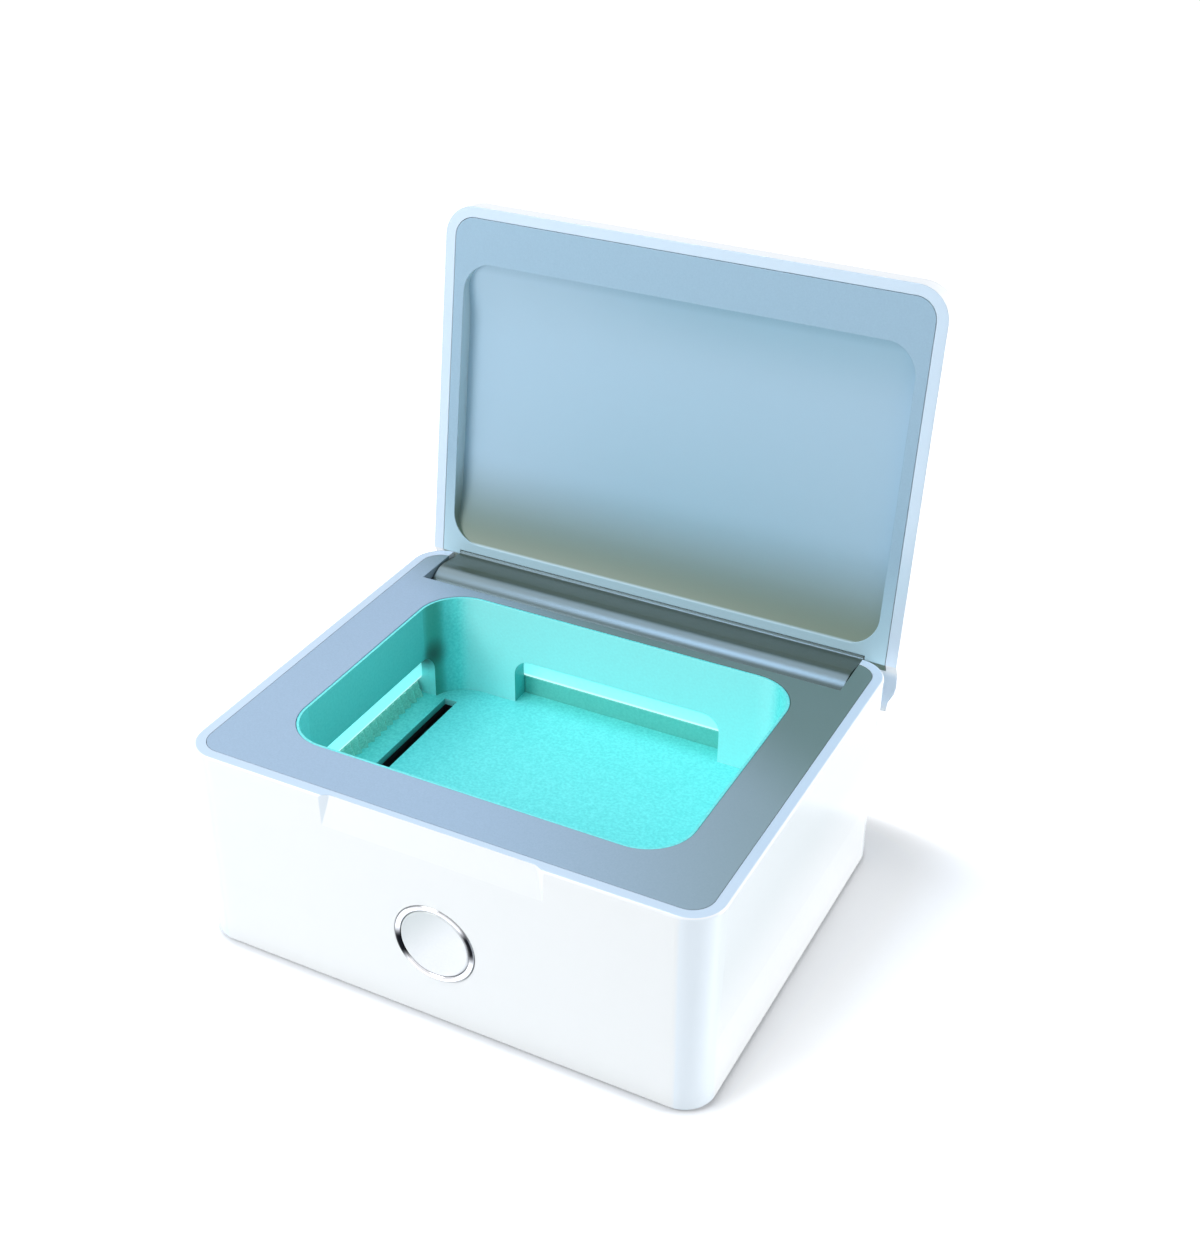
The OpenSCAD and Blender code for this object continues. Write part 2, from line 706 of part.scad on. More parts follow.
// Pleated strip that leans back under the left light cover
module pleated_filter() {
    folds = floor((left_niche_len - 1) / pleat_pitch);
    front = [for (i = [0:folds]) [(i - folds / 2) * pleat_pitch, (i % 2) * pleat_depth]];
    back = [for (i = [folds:-1:0]) [(i - folds / 2) * pleat_pitch, (i % 2) * pleat_depth + filter_t]];
    color("#bfe6dc") in_left_niche() intersection() {
        translate([0, 0, left_niche_depth - filter_foot]) rotate([-filter_lean, 0, 0]) rotate([-90, 0, 0])
            translate([0, 0, -1]) linear_extrude(left_nose_h + 3) polygon(concat(front, back));
        translate([-left_niche_len / 2, 0, 0]) cube([left_niche_len, left_nose_h - fit, left_niche_depth]);
    }
}

// Black duct from the blower to the air slot, open below where the bottom cover closes it
module air_duct() {
    top = tub_under;
    low = fan_z + fan_t;
    hollow_y0 = duct_y0 + duct_wall;
    hollow_d = duct_y1 - duct_y0 - 2 * duct_wall;
    color("#17191b") difference() {
        translate([duct_x0, duct_y0, cover_top]) {
            cube([duct_knee - duct_x0, duct_y1 - duct_y0, top - cover_top]);
            cube([duct_x1 - duct_x0, duct_y1 - duct_y0, low - cover_top]);
        }
        translate([duct_x0 + duct_wall, hollow_y0, cover_top - cut]) {
            cube([duct_x1 - duct_x0 - 2 * duct_wall, hollow_d, low - duct_wall - cover_top + cut]);
            cube([duct_knee - duct_x0 - 2 * duct_wall, hollow_d, top - duct_wall - cover_top + cut]);
        }
        translate([slot_x - slot_w / 2, hollow_y0, top - duct_wall - cut])
            cube([slot_w, hollow_d, duct_wall + 2 * cut]);
        translate([duct_x1 - duct_wall - cut, fan_outlet[0], fan_z + fan_wall])
            cube([duct_wall + 2 * cut, fan_outlet[1] - fan_outlet[0], fan_t - 2 * fan_wall]);
    }
}

// Heater: two rails with thin fins between them, across the duct
module heater() {
    h = fan_t - duct_wall - 0.6;
    y0 = duct_y0 + duct_wall + fit;
    y1 = duct_y1 - duct_wall - fit;
    w = heater_x1 - heater_x0;
    fins = floor((y1 - y0 - heater_fin_t) / heater_fin_pitch);
    color("#b9bdbf") translate([heater_x0, y0, cover_top]) {
        for (z = [0, h - heater_rail]) translate([0, 0, z]) cube([w, y1 - y0, heater_rail]);
        for (i = [0:fins]) translate([0, i * (y1 - y0 - heater_fin_t) / fins, heater_rail / 2])
            cube([w, heater_fin_t, h - heater_rail]);
    }
}

module fan_housing() {
    color("#202326") difference() {
        union() {
            translate([fan_x - fan_w / 2, -fan_w / 2, fan_z]) cube([fan_w, fan_w, fan_t - fan_wall]);
            for (p = fan_ear_spots) translate([p[0], p[1], fan_z]) cylinder(h = fan_ear_h, r = fan_ear_r);
        }
        translate([fan_x, 0, fan_z + fan_wall]) cylinder(h = fan_t, r = rotor_r + 1.6);
        translate([fan_x - fan_w / 2 - cut, fan_outlet[0], fan_z + fan_wall])
            cube([fan_w / 2, fan_outlet[1] - fan_outlet[0], fan_t]);
        translate([fan_x, 0, fan_z - cut]) cylinder(h = fan_t, r = fan_eye_r);
        for (p = fan_ear_spots) translate([p[0], p[1], fan_z - cut])
            cylinder(h = fan_ear_h + 2 * cut, r = screw_r + fit);
    }
}

// Upper plate of the blower with the motor stub that the rotor turns on
module fan_cover() {
    plate_z = fan_t - fan_wall;
    color("#202326") translate([fan_x, 0, fan_z]) difference() {
        union() {
            translate([-fan_w / 2, -fan_w / 2, plate_z]) cube([fan_w, fan_w, fan_wall]);
            translate([0, 0, plate_z - motor_h]) cylinder(h = motor_h + 0.01, r = motor_r);
        }
        translate([0, 0, plate_z - motor_h - cut]) cylinder(h = motor_h + 0.2 + cut, r = 1 + run_fit);
    }
}

// Rotor: a cup that turns on the motor stub, a back plate and upright blades with a curved face
module fan_rotor() {
    plate_z = fan_t - fan_wall - 2 * rotor_plate_t;
    cup_z = fan_t - fan_wall - motor_h - 1.6;
    color("#2c3034") translate([fan_x, 0, fan_z]) {
        translate([0, 0, cup_z]) difference() {
            cylinder(h = motor_h + 0.8, r = hub_r);
            translate([0, 0, 1]) cylinder(h = motor_h + 0.8, r = hub_r - hub_wall);
        }
        translate([0, 0, cup_z + 0.6]) cylinder(h = motor_h + 0.8, r = 1);
        translate([0, 0, plate_z]) difference() {
            cylinder(h = rotor_plate_t, r = rotor_r);
            translate([0, 0, -cut]) cylinder(h = rotor_plate_t + 2 * cut, r = hub_r - hub_wall / 2);
        }
        for (i = [0:rotor_blades - 1]) rotate([0, 0, i * 360 / rotor_blades])
            translate([0, 0, fan_wall + 0.6]) linear_extrude(plate_z - fan_wall - 0.5) blade_plan();
    }
}

// Plan of one blade: part of a thin ring, cut off at the rotor's edge and at its own inner end
module blade_plan() {
    intersection() {
        translate([rotor_r - blade_reach, blade_r]) difference() {
            circle(blade_r);
            circle(blade_r - blade_t);
        }
        circle(rotor_r - 0.1);
        translate([rotor_r - blade_reach, 0]) square([blade_reach, blade_r / 2]);
    }
}

module fan_screws() {
    color("#9a9fa3") for (p = fan_ear_spots)
        translate([p[0], p[1], fan_z + fan_ear_h + screw_head_h]) mirror([0, 0, 1]) screw_up(fan_screw_len);
}

module control_board() {
    w = board_x1 - board_x0;
    under = board_top - board_t;
    notch_r = boss_r + 0.4;
    color("#1f6b45") difference() {
        union() {
            translate([board_x0, board_y0, under]) cube([w, board_y1 - board_y0, board_t]);
            translate([board_x0 + w / 2 - chip_w / 2, chip_y - chip_w / 2, board_top - 0.01])
                cube([chip_w, chip_w, chip_h]);
            for (y = capacitor_spots) translate([board_x0 + w / 2 + capacitor_side, y, board_top - 0.01])
                cylinder(h = capacitor_h, r = capacitor_r);
        }
        for (p = post_spots) translate([p[0], p[1], under - cut])
            cylinder(h = board_t + 2 * cut, r = screw_r + fit);
        translate([boss_x, rear_boss_y, under - cut]) {
            cylinder(h = board_t + 2 * cut, r = notch_r);
            translate([0, -notch_r, 0]) cube([body_w, 2 * notch_r, board_t + 2 * cut]);
        }
    }
}

module board_screws() {
    color("#9a9fa3") for (p = post_spots)
        translate([p[0], p[1], board_top + screw_head_h]) mirror([0, 0, 1]) screw_up(board_screw_len);
}

// Socket for the low voltage plug, on the rear end of the control board
module power_inlet() {
    mid_z = board_top + inlet_h / 2;
    color("#15171a") difference() {
        union() {
            translate([inlet_x - inlet_w / 2, inlet_front, board_top])
                cube([inlet_w, inlet_back - inlet_front, inlet_h]);
            translate([inlet_x, inlet_back - 0.01, mid_z]) rotate([-90, 0, 0])
                cylinder(h = inlet_mouth - inlet_back, r = inlet_bore + inlet_wall);
        }
        translate([inlet_x, inlet_mouth - inlet_depth, mid_z]) rotate([-90, 0, 0])
            cylinder(h = inlet_depth + cut, r = inlet_bore);
    }
    color("#c9ccd0") translate([inlet_x, inlet_mouth - inlet_depth - 0.5, mid_z]) rotate([-90, 0, 0])
        cylinder(h = inlet_pin_len, r = inlet_pin_r);
}

// Chrome ring: a rounded face on a sleeve that guides the button cap
module button_ring() {
    guide_r = ring_r - ring_face;
    face_r = (ring_face * ring_face / 4 + ring_crown * ring_crown) / (2 * ring_crown);
    color("#c7cbd2") translate([0, 0, button_z]) rotate([-90, 0, 0]) rotate_extrude() {
        translate([guide_r, ring_front]) {
            intersection() {
                translate([ring_face / 2, face_r]) circle(face_r, $fn = 96);
                square([ring_face, ring_crown]);
            }
            translate([0, ring_crown]) square([ring_face, ring_proud + ring_seat - ring_crown]);
            translate([0, ring_crown]) square([sleeve_wall, sleeve_end - ring_front - ring_crown]);
        }
    }
}

// Cap: a dished face, a flange that stops behind the ring's sleeve, and a stem to the switch
module button_cap() {
    dish_ball = (cap_r * cap_r + cap_dish * cap_dish) / (2 * cap_dish);
    color("#dfe3ea") difference() {
        translate([0, 0, button_z]) rotate([-90, 0, 0]) rotate_extrude() {
            translate([0, cap_front]) square([cap_r - cap_edge_r, cap_back - cap_front + cap_joint]);
            translate([0, cap_front + cap_edge_r])
                square([cap_r, cap_back - cap_front - cap_edge_r + cap_joint]);
            intersection() {
                translate([cap_r - cap_edge_r, cap_front + cap_edge_r]) circle(cap_edge_r);
                translate([0, cap_front]) square([cap_r, 2 * cap_edge_r]);
            }
            translate([0, cap_back]) square([cap_flange_r, cap_flange_t]);
            translate([0, cap_back]) square([plunger_r + stem_wall, stem_end - cap_back]);
        }
        translate([0, cap_front + cap_dish - dish_ball, button_z]) sphere(r = dish_ball, $fn = 96);
    }
}

module switch_plunger() {
    color("#2b2d30") translate([0, stem_end, button_z]) rotate([-90, 0, 0])
        cylinder(h = switch_y - stem_end + plunger_in, r = plunger_r);
}

module tact_switch() {
    side = 6.2;
    color("#3a3d41") difference() {
        translate([-side / 2, switch_y, button_z - side / 2]) cube([side, switch_h, side]);
        translate([0, switch_y - cut, button_z]) rotate([-90, 0, 0])
            cylinder(h = cut + plunger_in + button_travel + 0.15, r = plunger_r + run_fit);
    }
}

// Upright board behind the button, held in the two guides of the bottom cover
module button_board() {
    color("#1f6b45") translate([-button_board_w / 2, board_y, cover_top + board_rest])
        cube([button_board_w, board_t, flange_under - 0.3 - cover_top - board_rest]);
}

// Sensor that tells the lights whether the lid is shut, under the lid's magnet
module lid_sensor() {
    color("#2b2d30") translate([-sensor_w / 2, board_y - sensor_t, flange_under - sensor_drop])
        cube([sensor_w, sensor_t, sensor_h]);
}

module bottom_cover() {
    w = body_w - 2 * shell_wall - 2 * draft - 2 * fit;
    d = body_d - 2 * shell_wall - 2 * draft - 2 * fit;
    color("#e9eef2") difference() {
        union() {
            translate([0, 0, z0]) linear_extrude(cover_t) rounded_plan(w, d, inner_r - draft - fit);
            for (p = post_spots) translate([p[0], p[1], cover_top - 0.01])
                cylinder(h = post_h + 0.01, r = post_r);
            for (s = [-1, 1])
                translate([s * button_board_w / 2 - guide_w / 2, board_y - guide_wall, cover_top - 0.01])
                    cube([guide_w, board_t + 2 * guide_wall, board_guide_h]);
            translate([-button_board_w / 2, board_y - guide_wall, cover_top - 0.01])
                cube([button_board_w, board_t + 2 * guide_wall, board_rest + 0.01]);
        }
        translate([-button_board_w / 2 - fit, board_y - fit, cover_top + board_rest])
            cube([button_board_w + 2 * fit, board_t + 2 * fit, board_guide_h]);
        for (p = boss_spots) {
            translate([p[0], p[1], z0 - cut]) cylinder(h = cover_t + 2 * cut, r = pass_r);
            translate([p[0], p[1], z0 - cut]) cylinder(h = head_sink + cut, r = head_seat_r);
        }
        for (p = post_spots) translate([p[0], p[1], cover_top]) cylinder(h = post_h + cut, r = pilot_r);
        for (p = fan_ear_spots) translate([p[0], p[1], cover_top - fan_pilot])
            cylinder(h = cover_t, r = pilot_r);
        for (p = foot_spots) translate([p[0], p[1], z0 - cut])
            cylinder(h = cut + foot_t - foot_proud, r = foot_r + fit);
        intake_slots();
    }
}

// Air enters through slots in the cover, under the blower's eye
module intake_slots() {
    for (i = [-intake_side:intake_side]) translate([fan_x + i * intake_pitch, 0, z0 - cut]) {
        half = sqrt(pow(fan_eye_r, 2) - pow(i * intake_pitch, 2));
        linear_extrude(cover_t + 2 * cut) {
            translate([-intake_w / 2, -half]) square([intake_w, 2 * half]);
            for (s = [-1, 1]) translate([0, s * half]) circle(intake_w / 2);
        }
    }
}

module rubber_feet() {
    color("#3c4247") for (p = foot_spots) translate([p[0], p[1], 0]) cylinder(h = foot_t, r = foot_r);
}

module cover_screws() {
    color("#9a9fa3") for (p = boss_spots) translate([p[0], p[1], z0 + shadow_gap]) screw_up(cover_screw_len);
}

module tub_screws() {
    color("#9a9fa3") for (p = boss_spots)
        translate([p[0], p[1], deck_under + screw_head_h]) mirror([0, 0, 1]) screw_up(tub_screw_len);
}

// Lid shell in the closed lid's frame: the rim lies on the plane Z = lid_rise
module lid_shell() {
    roof = lid_rise + lid_t - lid_top_t;
    color("#f4f8fc") open_lid() difference() {
        union() {
            translate([0, lid_cy, lid_rise]) difference() {
                soft_slab(body_w, body_d, lid_t, corner_r, lid_edge_r);
                translate([0, 0, -cut]) linear_extrude(lid_t - lid_top_t + cut) inner_plan(0);
            }
            lid_ledge();
            for (s = [-1, 1]) translate([s > 0 ? barrel_x + fit : -side_x + shell_wall / 2, 0, 0])
                lid_relief_wall(side_x - shell_wall / 2 - barrel_x - fit);
            for (x = barrel_screw_spots) translate([x, 0, lid_rise + barrel_flange_t])
                cylinder(h = roof - lid_rise - barrel_flange_t + 0.2, r = lid_boss_r);
            translate([0, magnet_y, lid_rise + panel_t + magnet_h])
                cylinder(h = roof - lid_rise - panel_t - magnet_h + 0.2, r = magnet_r + 0.8);
        }
        for (x = barrel_screw_spots) translate([x, 0, lid_rise])
            cylinder(h = barrel_flange_t + 2.2, r = pilot_r);
        for (s = [-1, 1]) translate([s > 0 ? barrel_x : -side_x - cut, 0, 0]) rotate([0, 90, 0])
            cylinder(h = side_x - barrel_x + cut, r = relief_r);
    }
}

// Curved wall that closes the lid's rear corners behind the hollow for the base's rear edge
module lid_relief_wall(len) {
    along_x(0, len) intersection() {
        circle(relief_r + relief_wall, $fn = 96);
        union() {
            translate([-side_x, lid_rise + panel_t]) square([side_x + lid_rear - shell_wall / 2, lid_t]);
            translate([0, lid_rise]) square([lid_rear - shell_wall / 2, lid_t]);
        }
    }
}

// Ledge inside the lid shell that the inner panel is bonded to
module lid_ledge() {
    difference() {
        translate([0, lid_cy, lid_rise + panel_t]) linear_extrude(lid_t - lid_top_t - panel_t + 0.2)
            inner_plan(-shell_wall / 2);
        translate([0, lid_cy, lid_rise]) linear_extrude(lid_t) inner_plan(lid_ledge_w);
        translate([-side_x, panel_rear - 1, lid_rise]) cube([body_w, body_d, lid_t]);
    }
}

// Dished inner panel: a flat border round a tray whose floor rises to its front and rear ends
module lid_inner_panel() {
    ear_w = side_x - shell_wall - barrel_x - 2 * fit;
    color("#9dbcd0") open_lid() difference() {
        union() {
            intersection() {
                translate([0, lid_cy, lid_rise]) linear_extrude(panel_t) inner_plan(fit);
                translate([-side_x, lid_front, lid_rise]) cube([body_w, panel_rear - lid_front, panel_t]);
            }
            for (x = [barrel_x + fit, -barrel_x - fit - ear_w]) translate([x, panel_rear - 1, lid_rise])
                cube([ear_w, ear_rear - panel_rear + 1, panel_t]);
            intersection() {
                dish_block(panel_t);
                dish_rolls(panel_t);
            }
        }
        intersection() {
            translate([0, 0, -cut]) dish_block(0);
            dish_rolls(0);
        }
        for (x = [barrel_x - cut, -side_x - cut]) translate([x, 0, 0]) rotate([0, 90, 0])
            cylinder(h = side_x - barrel_x + 2 * cut, r = relief_r);
    }
}

// Plan of the dish, grown by the skin of the tray
module dish_block(skin) {
    translate([0, (dish_y0 + dish_y1) / 2, lid_rise]) linear_extrude(dish_depth + (skin > 0 ? skin : cut))
        rounded_plan(body_w - 2 * dish_side + 2 * skin, dish_y1 - dish_y0 + 2 * skin, dish_r + skin);
}

// Side view of the dish: a flat floor that rolls up to the panel at both ends
module dish_rolls(skin) {
    r = dish_roll_r + skin;
    run = sqrt(2 * dish_roll_r * dish_depth - dish_depth * dish_depth);
    along_x(-side_x, body_w) {
        for (y = [dish_y0 + run, dish_y1 - run])
            translate([y, lid_rise + dish_depth - dish_roll_r]) circle(r, $fn = 180);
        translate([dish_y0 + run, lid_rise - cut])
            square([dish_y1 - dish_y0 - 2 * run, dish_depth + skin + cut]);
    }
}

module lid_magnet() {
    color("#b8bcc2") open_lid() translate([0, magnet_y, lid_rise + panel_t])
        cylinder(h = magnet_h, r = magnet_r);
}

// Hinge barrel: a curved skin with a web and a flange, closed by an end plate with a bushed bore
module hinge_barrel() {
    color("#5f7480") open_lid() difference() {
        union() {
            along_x(-barrel_x, 2 * barrel_x) barrel_section();
            for (x = [-barrel_x, barrel_x - end_plate_t]) along_x(x, end_plate_t) {
                barrel_plate_section();
                circle(knuckle_r);
            }
            for (x = barrel_rib_spots) along_x(x - barrel_wall / 2, barrel_wall) difference() {
                barrel_plate_section();
                circle(knuckle_r);
            }
        }
        translate([-body_w, 0, 0]) rotate([0, 90, 0]) cylinder(h = 2 * body_w, r = bush_r);
        for (x = barrel_screw_spots) translate([x, 0, web_z - cut]) {
            cylinder(h = barrel_flange_t + 2 * cut, r = screw_r + fit);
            cylinder(h = cut + head_sink, r = head_seat_r);
        }
    }
}

// Section of the barrel between its end plates, from the hinge axis
module barrel_section() {
    difference() {
        intersection() {
            circle(barrel_r, $fn = 96);
            skin_sector();
        }
        circle(barrel_r - barrel_wall, $fn = 96);
    }
    translate([-barrel_r, 0]) square([barrel_wall, web_z + 0.5]);
    translate([-barrel_r - barrel_lip, web_z])
        square([barrel_r + barrel_lip + flange_reach, barrel_flange_t]);
    difference() {
        translate([-barrel_r - barrel_lip, web_z - barrel_lip]) square([barrel_lip + 0.1, barrel_lip + 0.1]);
        translate([-barrel_r - barrel_lip, web_z - barrel_lip]) circle(barrel_lip);
    }
}

// Section of a plate that closes the skin
module barrel_plate_section() {
    intersection() {
        circle(barrel_r, $fn = 96);
        skin_sector();
    }
    translate([-barrel_r, 0]) square([barrel_r, plate_z]);
}

// Sector from the web, round the front and under the axis
module skin_sector() {
    far = 2 * barrel_r;
    polygon([[0, 0], [-far, 0], [-far, -far], [-far * cos(skin_angle), -far * sin(skin_angle)]]);
}

module barrel_screws() {
    color("#9a9fa3") open_lid() for (x = barrel_screw_spots)
        translate([x, 0, web_z + shadow_gap]) screw_up(barrel_screw_len);
}

module hinge_pins() {
    plate_in = barrel_x - end_plate_t;
    color("#b4b8bd") for (x = [plate_in, -plate_in - pin_len]) translate([x, axis_y, axis_z])
        rotate([0, 90, 0]) cylinder(h = pin_len, r = pin_r);
}

// Bushes pressed into the barrel's end plates
module hinge_bushes() {
    color("#c9a86a") for (x = [barrel_x - end_plate_t, -barrel_x]) translate([x, axis_y, axis_z])
        rotate([0, 90, 0]) difference() {
            cylinder(h = end_plate_t, r = bush_r);
            translate([0, 0, -cut]) cylinder(h = end_plate_t + 2 * cut, r = pin_r + run_fit);
        }
}

base_shell();
deck_plate();
chamber_tub();
rear_light_cover();
rear_light_carrier();
rear_light_strip();
left_light_cover();
left_light_strip();
pleated_filter();
air_duct();
heater();
fan_housing();
fan_cover();
fan_rotor();
fan_screws();
control_board();
board_screws();
power_inlet();
button_ring();
button_cap();
switch_plunger();
tact_switch();
button_board();
lid_sensor();
bottom_cover();
rubber_feet();
cover_screws();
tub_screws();
lid_shell();
lid_inner_panel();
lid_magnet();
hinge_barrel();
barrel_screws();
hinge_pins();
hinge_bushes();
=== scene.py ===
import json
import math

import bmesh
import bpy
from mathutils import Matrix, Vector


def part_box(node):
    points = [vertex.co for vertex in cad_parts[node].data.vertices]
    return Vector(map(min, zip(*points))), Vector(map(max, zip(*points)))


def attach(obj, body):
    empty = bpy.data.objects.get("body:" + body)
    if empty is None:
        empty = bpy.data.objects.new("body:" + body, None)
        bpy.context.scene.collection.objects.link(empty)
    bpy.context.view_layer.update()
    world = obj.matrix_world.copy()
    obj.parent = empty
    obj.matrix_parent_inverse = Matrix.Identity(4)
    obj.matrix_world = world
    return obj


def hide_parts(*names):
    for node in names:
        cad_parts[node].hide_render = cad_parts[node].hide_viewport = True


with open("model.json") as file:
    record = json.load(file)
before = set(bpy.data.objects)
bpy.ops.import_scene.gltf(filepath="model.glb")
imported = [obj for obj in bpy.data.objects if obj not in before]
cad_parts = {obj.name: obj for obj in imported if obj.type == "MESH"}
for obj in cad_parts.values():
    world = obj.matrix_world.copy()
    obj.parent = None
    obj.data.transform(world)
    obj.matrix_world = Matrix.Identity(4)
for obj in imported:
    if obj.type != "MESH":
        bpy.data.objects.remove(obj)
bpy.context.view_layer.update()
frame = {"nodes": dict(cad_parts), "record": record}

# Camera. It stands to the right of the button side and looks down into the chamber at about 31
# degrees. The lens is a mild telephoto, and the shift places the box as the photograph frames it.
mm = 0.001
camera_place = Vector((127.38, -233.18, 219.84)) * mm
camera_target = Vector((-3.039, 13.622, 53.177)) * mm
focal_px = 1797.6
frame_height_px = 1237
centre_offset_px = (-30.684, -9.193)
sensor_mm = 36

lens = bpy.data.cameras.new("camera")
lens.sensor_width = sensor_mm
lens.lens = focal_px / frame_height_px * sensor_mm
lens.shift_x = -centre_offset_px[0] / frame_height_px
lens.shift_y = centre_offset_px[1] / frame_height_px
lens.clip_start = 1 * mm
camera = bpy.data.objects.new("camera", lens)
camera.location = camera_place
camera.rotation_euler = (camera_target - camera_place).to_track_quat("-Z", "Y").to_euler()
bpy.context.scene.collection.objects.link(camera)
bpy.context.scene.camera = camera
bpy.context.scene.view_settings.view_transform = "Standard"

# Base shell and bottom cover: injection moulded ABS, nearly white with a cool tint and a high gloss.
# A bluish painted shade lies on the rim round the deck, and a bluish painted reflection on the rounded
# corners. The flat front face is painted a touch greyer than the finger scoop cut into it, and painted
# shade greys the right face towards its top.
nodes = frame["nodes"]
abs_ior = 1.53
gloss_abs = {"Roughness": 0.16, "IOR": abs_ior, "Coat Weight": 0.3, "Coat Roughness": 0.06}
shell_white = "#F7F8F8"
shell_shade = "#F2F5F6"
shell_mottle = 1.6 * mm
shell_ripple = 0.002 * mm
edge_round = 0.25 * mm
base_rim_painted_shade = "#C6D9EA"
rim_facing = (0.85, 0.97)
corner_painted_reflection = "#EAF3F9"
corner_way = (0.707, 0.707, 0)
corner_facing = (0.72, 0.82)
front_painted_shade = "#F0F2F1"
flat_front_facing = (0.985, 0.9995)
right_painted_shade = "#D8DFE1"
right_facing = (0.9, 0.99)
right_shade_low = 4 * mm
right_shade_high = 30 * mm


def linear(hex_colour):
    """Linear RGBA of an sRGB hex colour."""
    parts = [int(hex_colour[i:i + 2], 16) / 255 for i in (1, 3, 5)]
    return tuple(p / 12.92 if p <= 0.04045 else ((p + 0.055) / 1.055) ** 2.4 for p in parts) + (1.0,)


def add_node(tree, kind, settings=None, values=None, links=None):
    """A new node of a kind, with its settings, its sockets' values and what feeds its sockets."""
    node = tree.nodes.new(kind)
    for name, value in (settings or {}).items():
        setattr(node, name, value)
    for name, value in (values or {}).items():
        node.inputs[name].default_value = value
    for name, socket in (links or {}).items():
        tree.links.new(socket, node.inputs[name])
    return node


def start_material(name, values):
    """An empty material with its shader joined to the output. Constants go on the shader's sockets."""
    material = bpy.data.materials.new(name)
    material.use_nodes = True
    tree = material.node_tree
    tree.nodes.clear()
    shader = add_node(tree, "ShaderNodeBsdfPrincipled", values=values)
    add_node(tree, "ShaderNodeOutputMaterial", links={"Surface": shader.outputs["BSDF"]})
    return material, tree, shader


def finish_nodes(material, *names):
    """Gives CAD nodes a material in place of the plain one."""
    for name in names:
        slots = nodes[name].data.materials
        slots.clear()
        slots.append(material)


# A real spark-eroded or moulded grain is 0.05 to 0.1 mm wide. Every width that is passed here is drawn
# coarser than that, so that it shows in the render.
def grain(tree, shader, colour_a, colour_b, width, depth, edge=edge_round):
    """Speckled colour and a shallow bump on edges rounded a little. Gives the place and the tone."""
    place = add_node(tree, "ShaderNodeTexCoord")
    speckle = add_node(tree, "ShaderNodeTexNoise", values={"Scale": 1 / width, "Detail": 2.0},
                       links={"Vector": place.outputs["Object"]})
    tone = add_node(tree, "ShaderNodeMix", {"data_type": "RGBA"},
                    {"A": linear(colour_a), "B": linear(colour_b)}, {"Factor": speckle.outputs["Fac"]})
    rounded = add_node(tree, "ShaderNodeBevel", {"samples": 6}, {"Radius": edge})
    bump = add_node(tree, "ShaderNodeBump", values={"Distance": depth, "Strength": 0.6},
                    links={"Height": speckle.outputs["Fac"], "Normal": rounded.outputs["Normal"]})
    tree.links.new(bump.outputs["Normal"], shader.inputs["Normal"])
    tree.links.new(tone.outputs["Result"], shader.inputs["Base Color"])
    return place, tone.outputs["Result"]


def mask_along(tree, vector, way, start, end):
    """0 to 1, eased at both ends, as a vector's part along a direction goes from start to end."""
    part = add_node(tree, "ShaderNodeVectorMath", {"operation": "DOT_PRODUCT"}, {1: way}, {0: vector})
    step = add_node(tree, "ShaderNodeMapRange", {"interpolation_type": "SMOOTHSTEP"},
                    {"From Min": start, "From Max": end}, {"Value": part.outputs["Value"]})
    return step.outputs["Result"]


def tint(tree, shader, tone, colour, mask, strength=1.0):
    """Mixes one more colour over a tone where a mask is 1, and feeds the shader with it."""
    if strength < 1:
        weaker = add_node(tree, "ShaderNodeMath", {"operation": "MULTIPLY"}, {1: strength}, {0: mask})
        mask = weaker.outputs["Value"]
    mixed = add_node(tree, "ShaderNodeMix", {"data_type": "RGBA"}, {"B": linear(colour)},
                     {"A": tone, "Factor": mask})
    tree.links.new(mixed.outputs["Result"], shader.inputs["Base Color"])
    return mixed.outputs["Result"]


base_abs, tree, shader = start_material("white_abs", gloss_abs)
place, tone = grain(tree, shader, shell_white, shell_shade, shell_mottle, shell_ripple)
facing = place.outputs["Normal"]
# Painted shade: faces that point up, as the rim does, are tinted bluer.
on_rim = mask_along(tree, facing, (0, 0, 1), *rim_facing)
tone = tint(tree, shader, tone, base_rim_painted_shade, on_rim)
# Painted reflection: the rounded corners are tinted bluer.
outward = add_node(tree, "ShaderNodeVectorMath", {"operation": "ABSOLUTE"}, links={0: facing})
on_corner = mask_along(tree, outward.outputs["Vector"], corner_way, *corner_facing)
tone = tint(tree, shader, tone, corner_painted_reflection, on_corner)
# Painted shade: the flat front face is tinted a touch greyer.
flat_front = mask_along(tree, facing, (0, -1, 0), *flat_front_facing)
tone = tint(tree, shader, tone, front_painted_shade, flat_front)
# Painted shade: the right face greys towards its top.
right_face = mask_along(tree, facing, (1, 0, 0), *right_facing)
upwards = mask_along(tree, place.outputs["Object"], (0, 0, 1), right_shade_low, right_shade_high)
right_top = add_node(tree, "ShaderNodeMath", {"operation": "MULTIPLY"}, links={0: right_face, 1: upwards})
tint(tree, shader, tone, right_painted_shade, right_top.outputs["Value"])
finish_nodes(base_abs, "base_shell", "bottom_cover")

# Deck: a separate moulding of bluish grey ABS with a fine spark-eroded grain that dulls its shine. It
# rests on the tub's flange and is bluest on the left. A darker, more neutral painted shade greys it
# towards the right and in the strip behind the tub.
deck_right_painted_shade = "#7A8F90"
deck_right_way = (0.9, 0.43, 0)
deck_right_range = (-20 * mm, 64 * mm)
deck_rear_painted_shade = "#647D7B"
deck_rear_way = (0.35, 0.94, 0)
deck_rear_range = (5 * mm, 30 * mm)

deck_abs, tree, shader = start_material("grained_grey_abs", {"Roughness": 0.42, "IOR": abs_ior})
place, tone = grain(tree, shader, "#A5BCD2", "#93ABC1", width=0.3 * mm, depth=0.02 * mm)
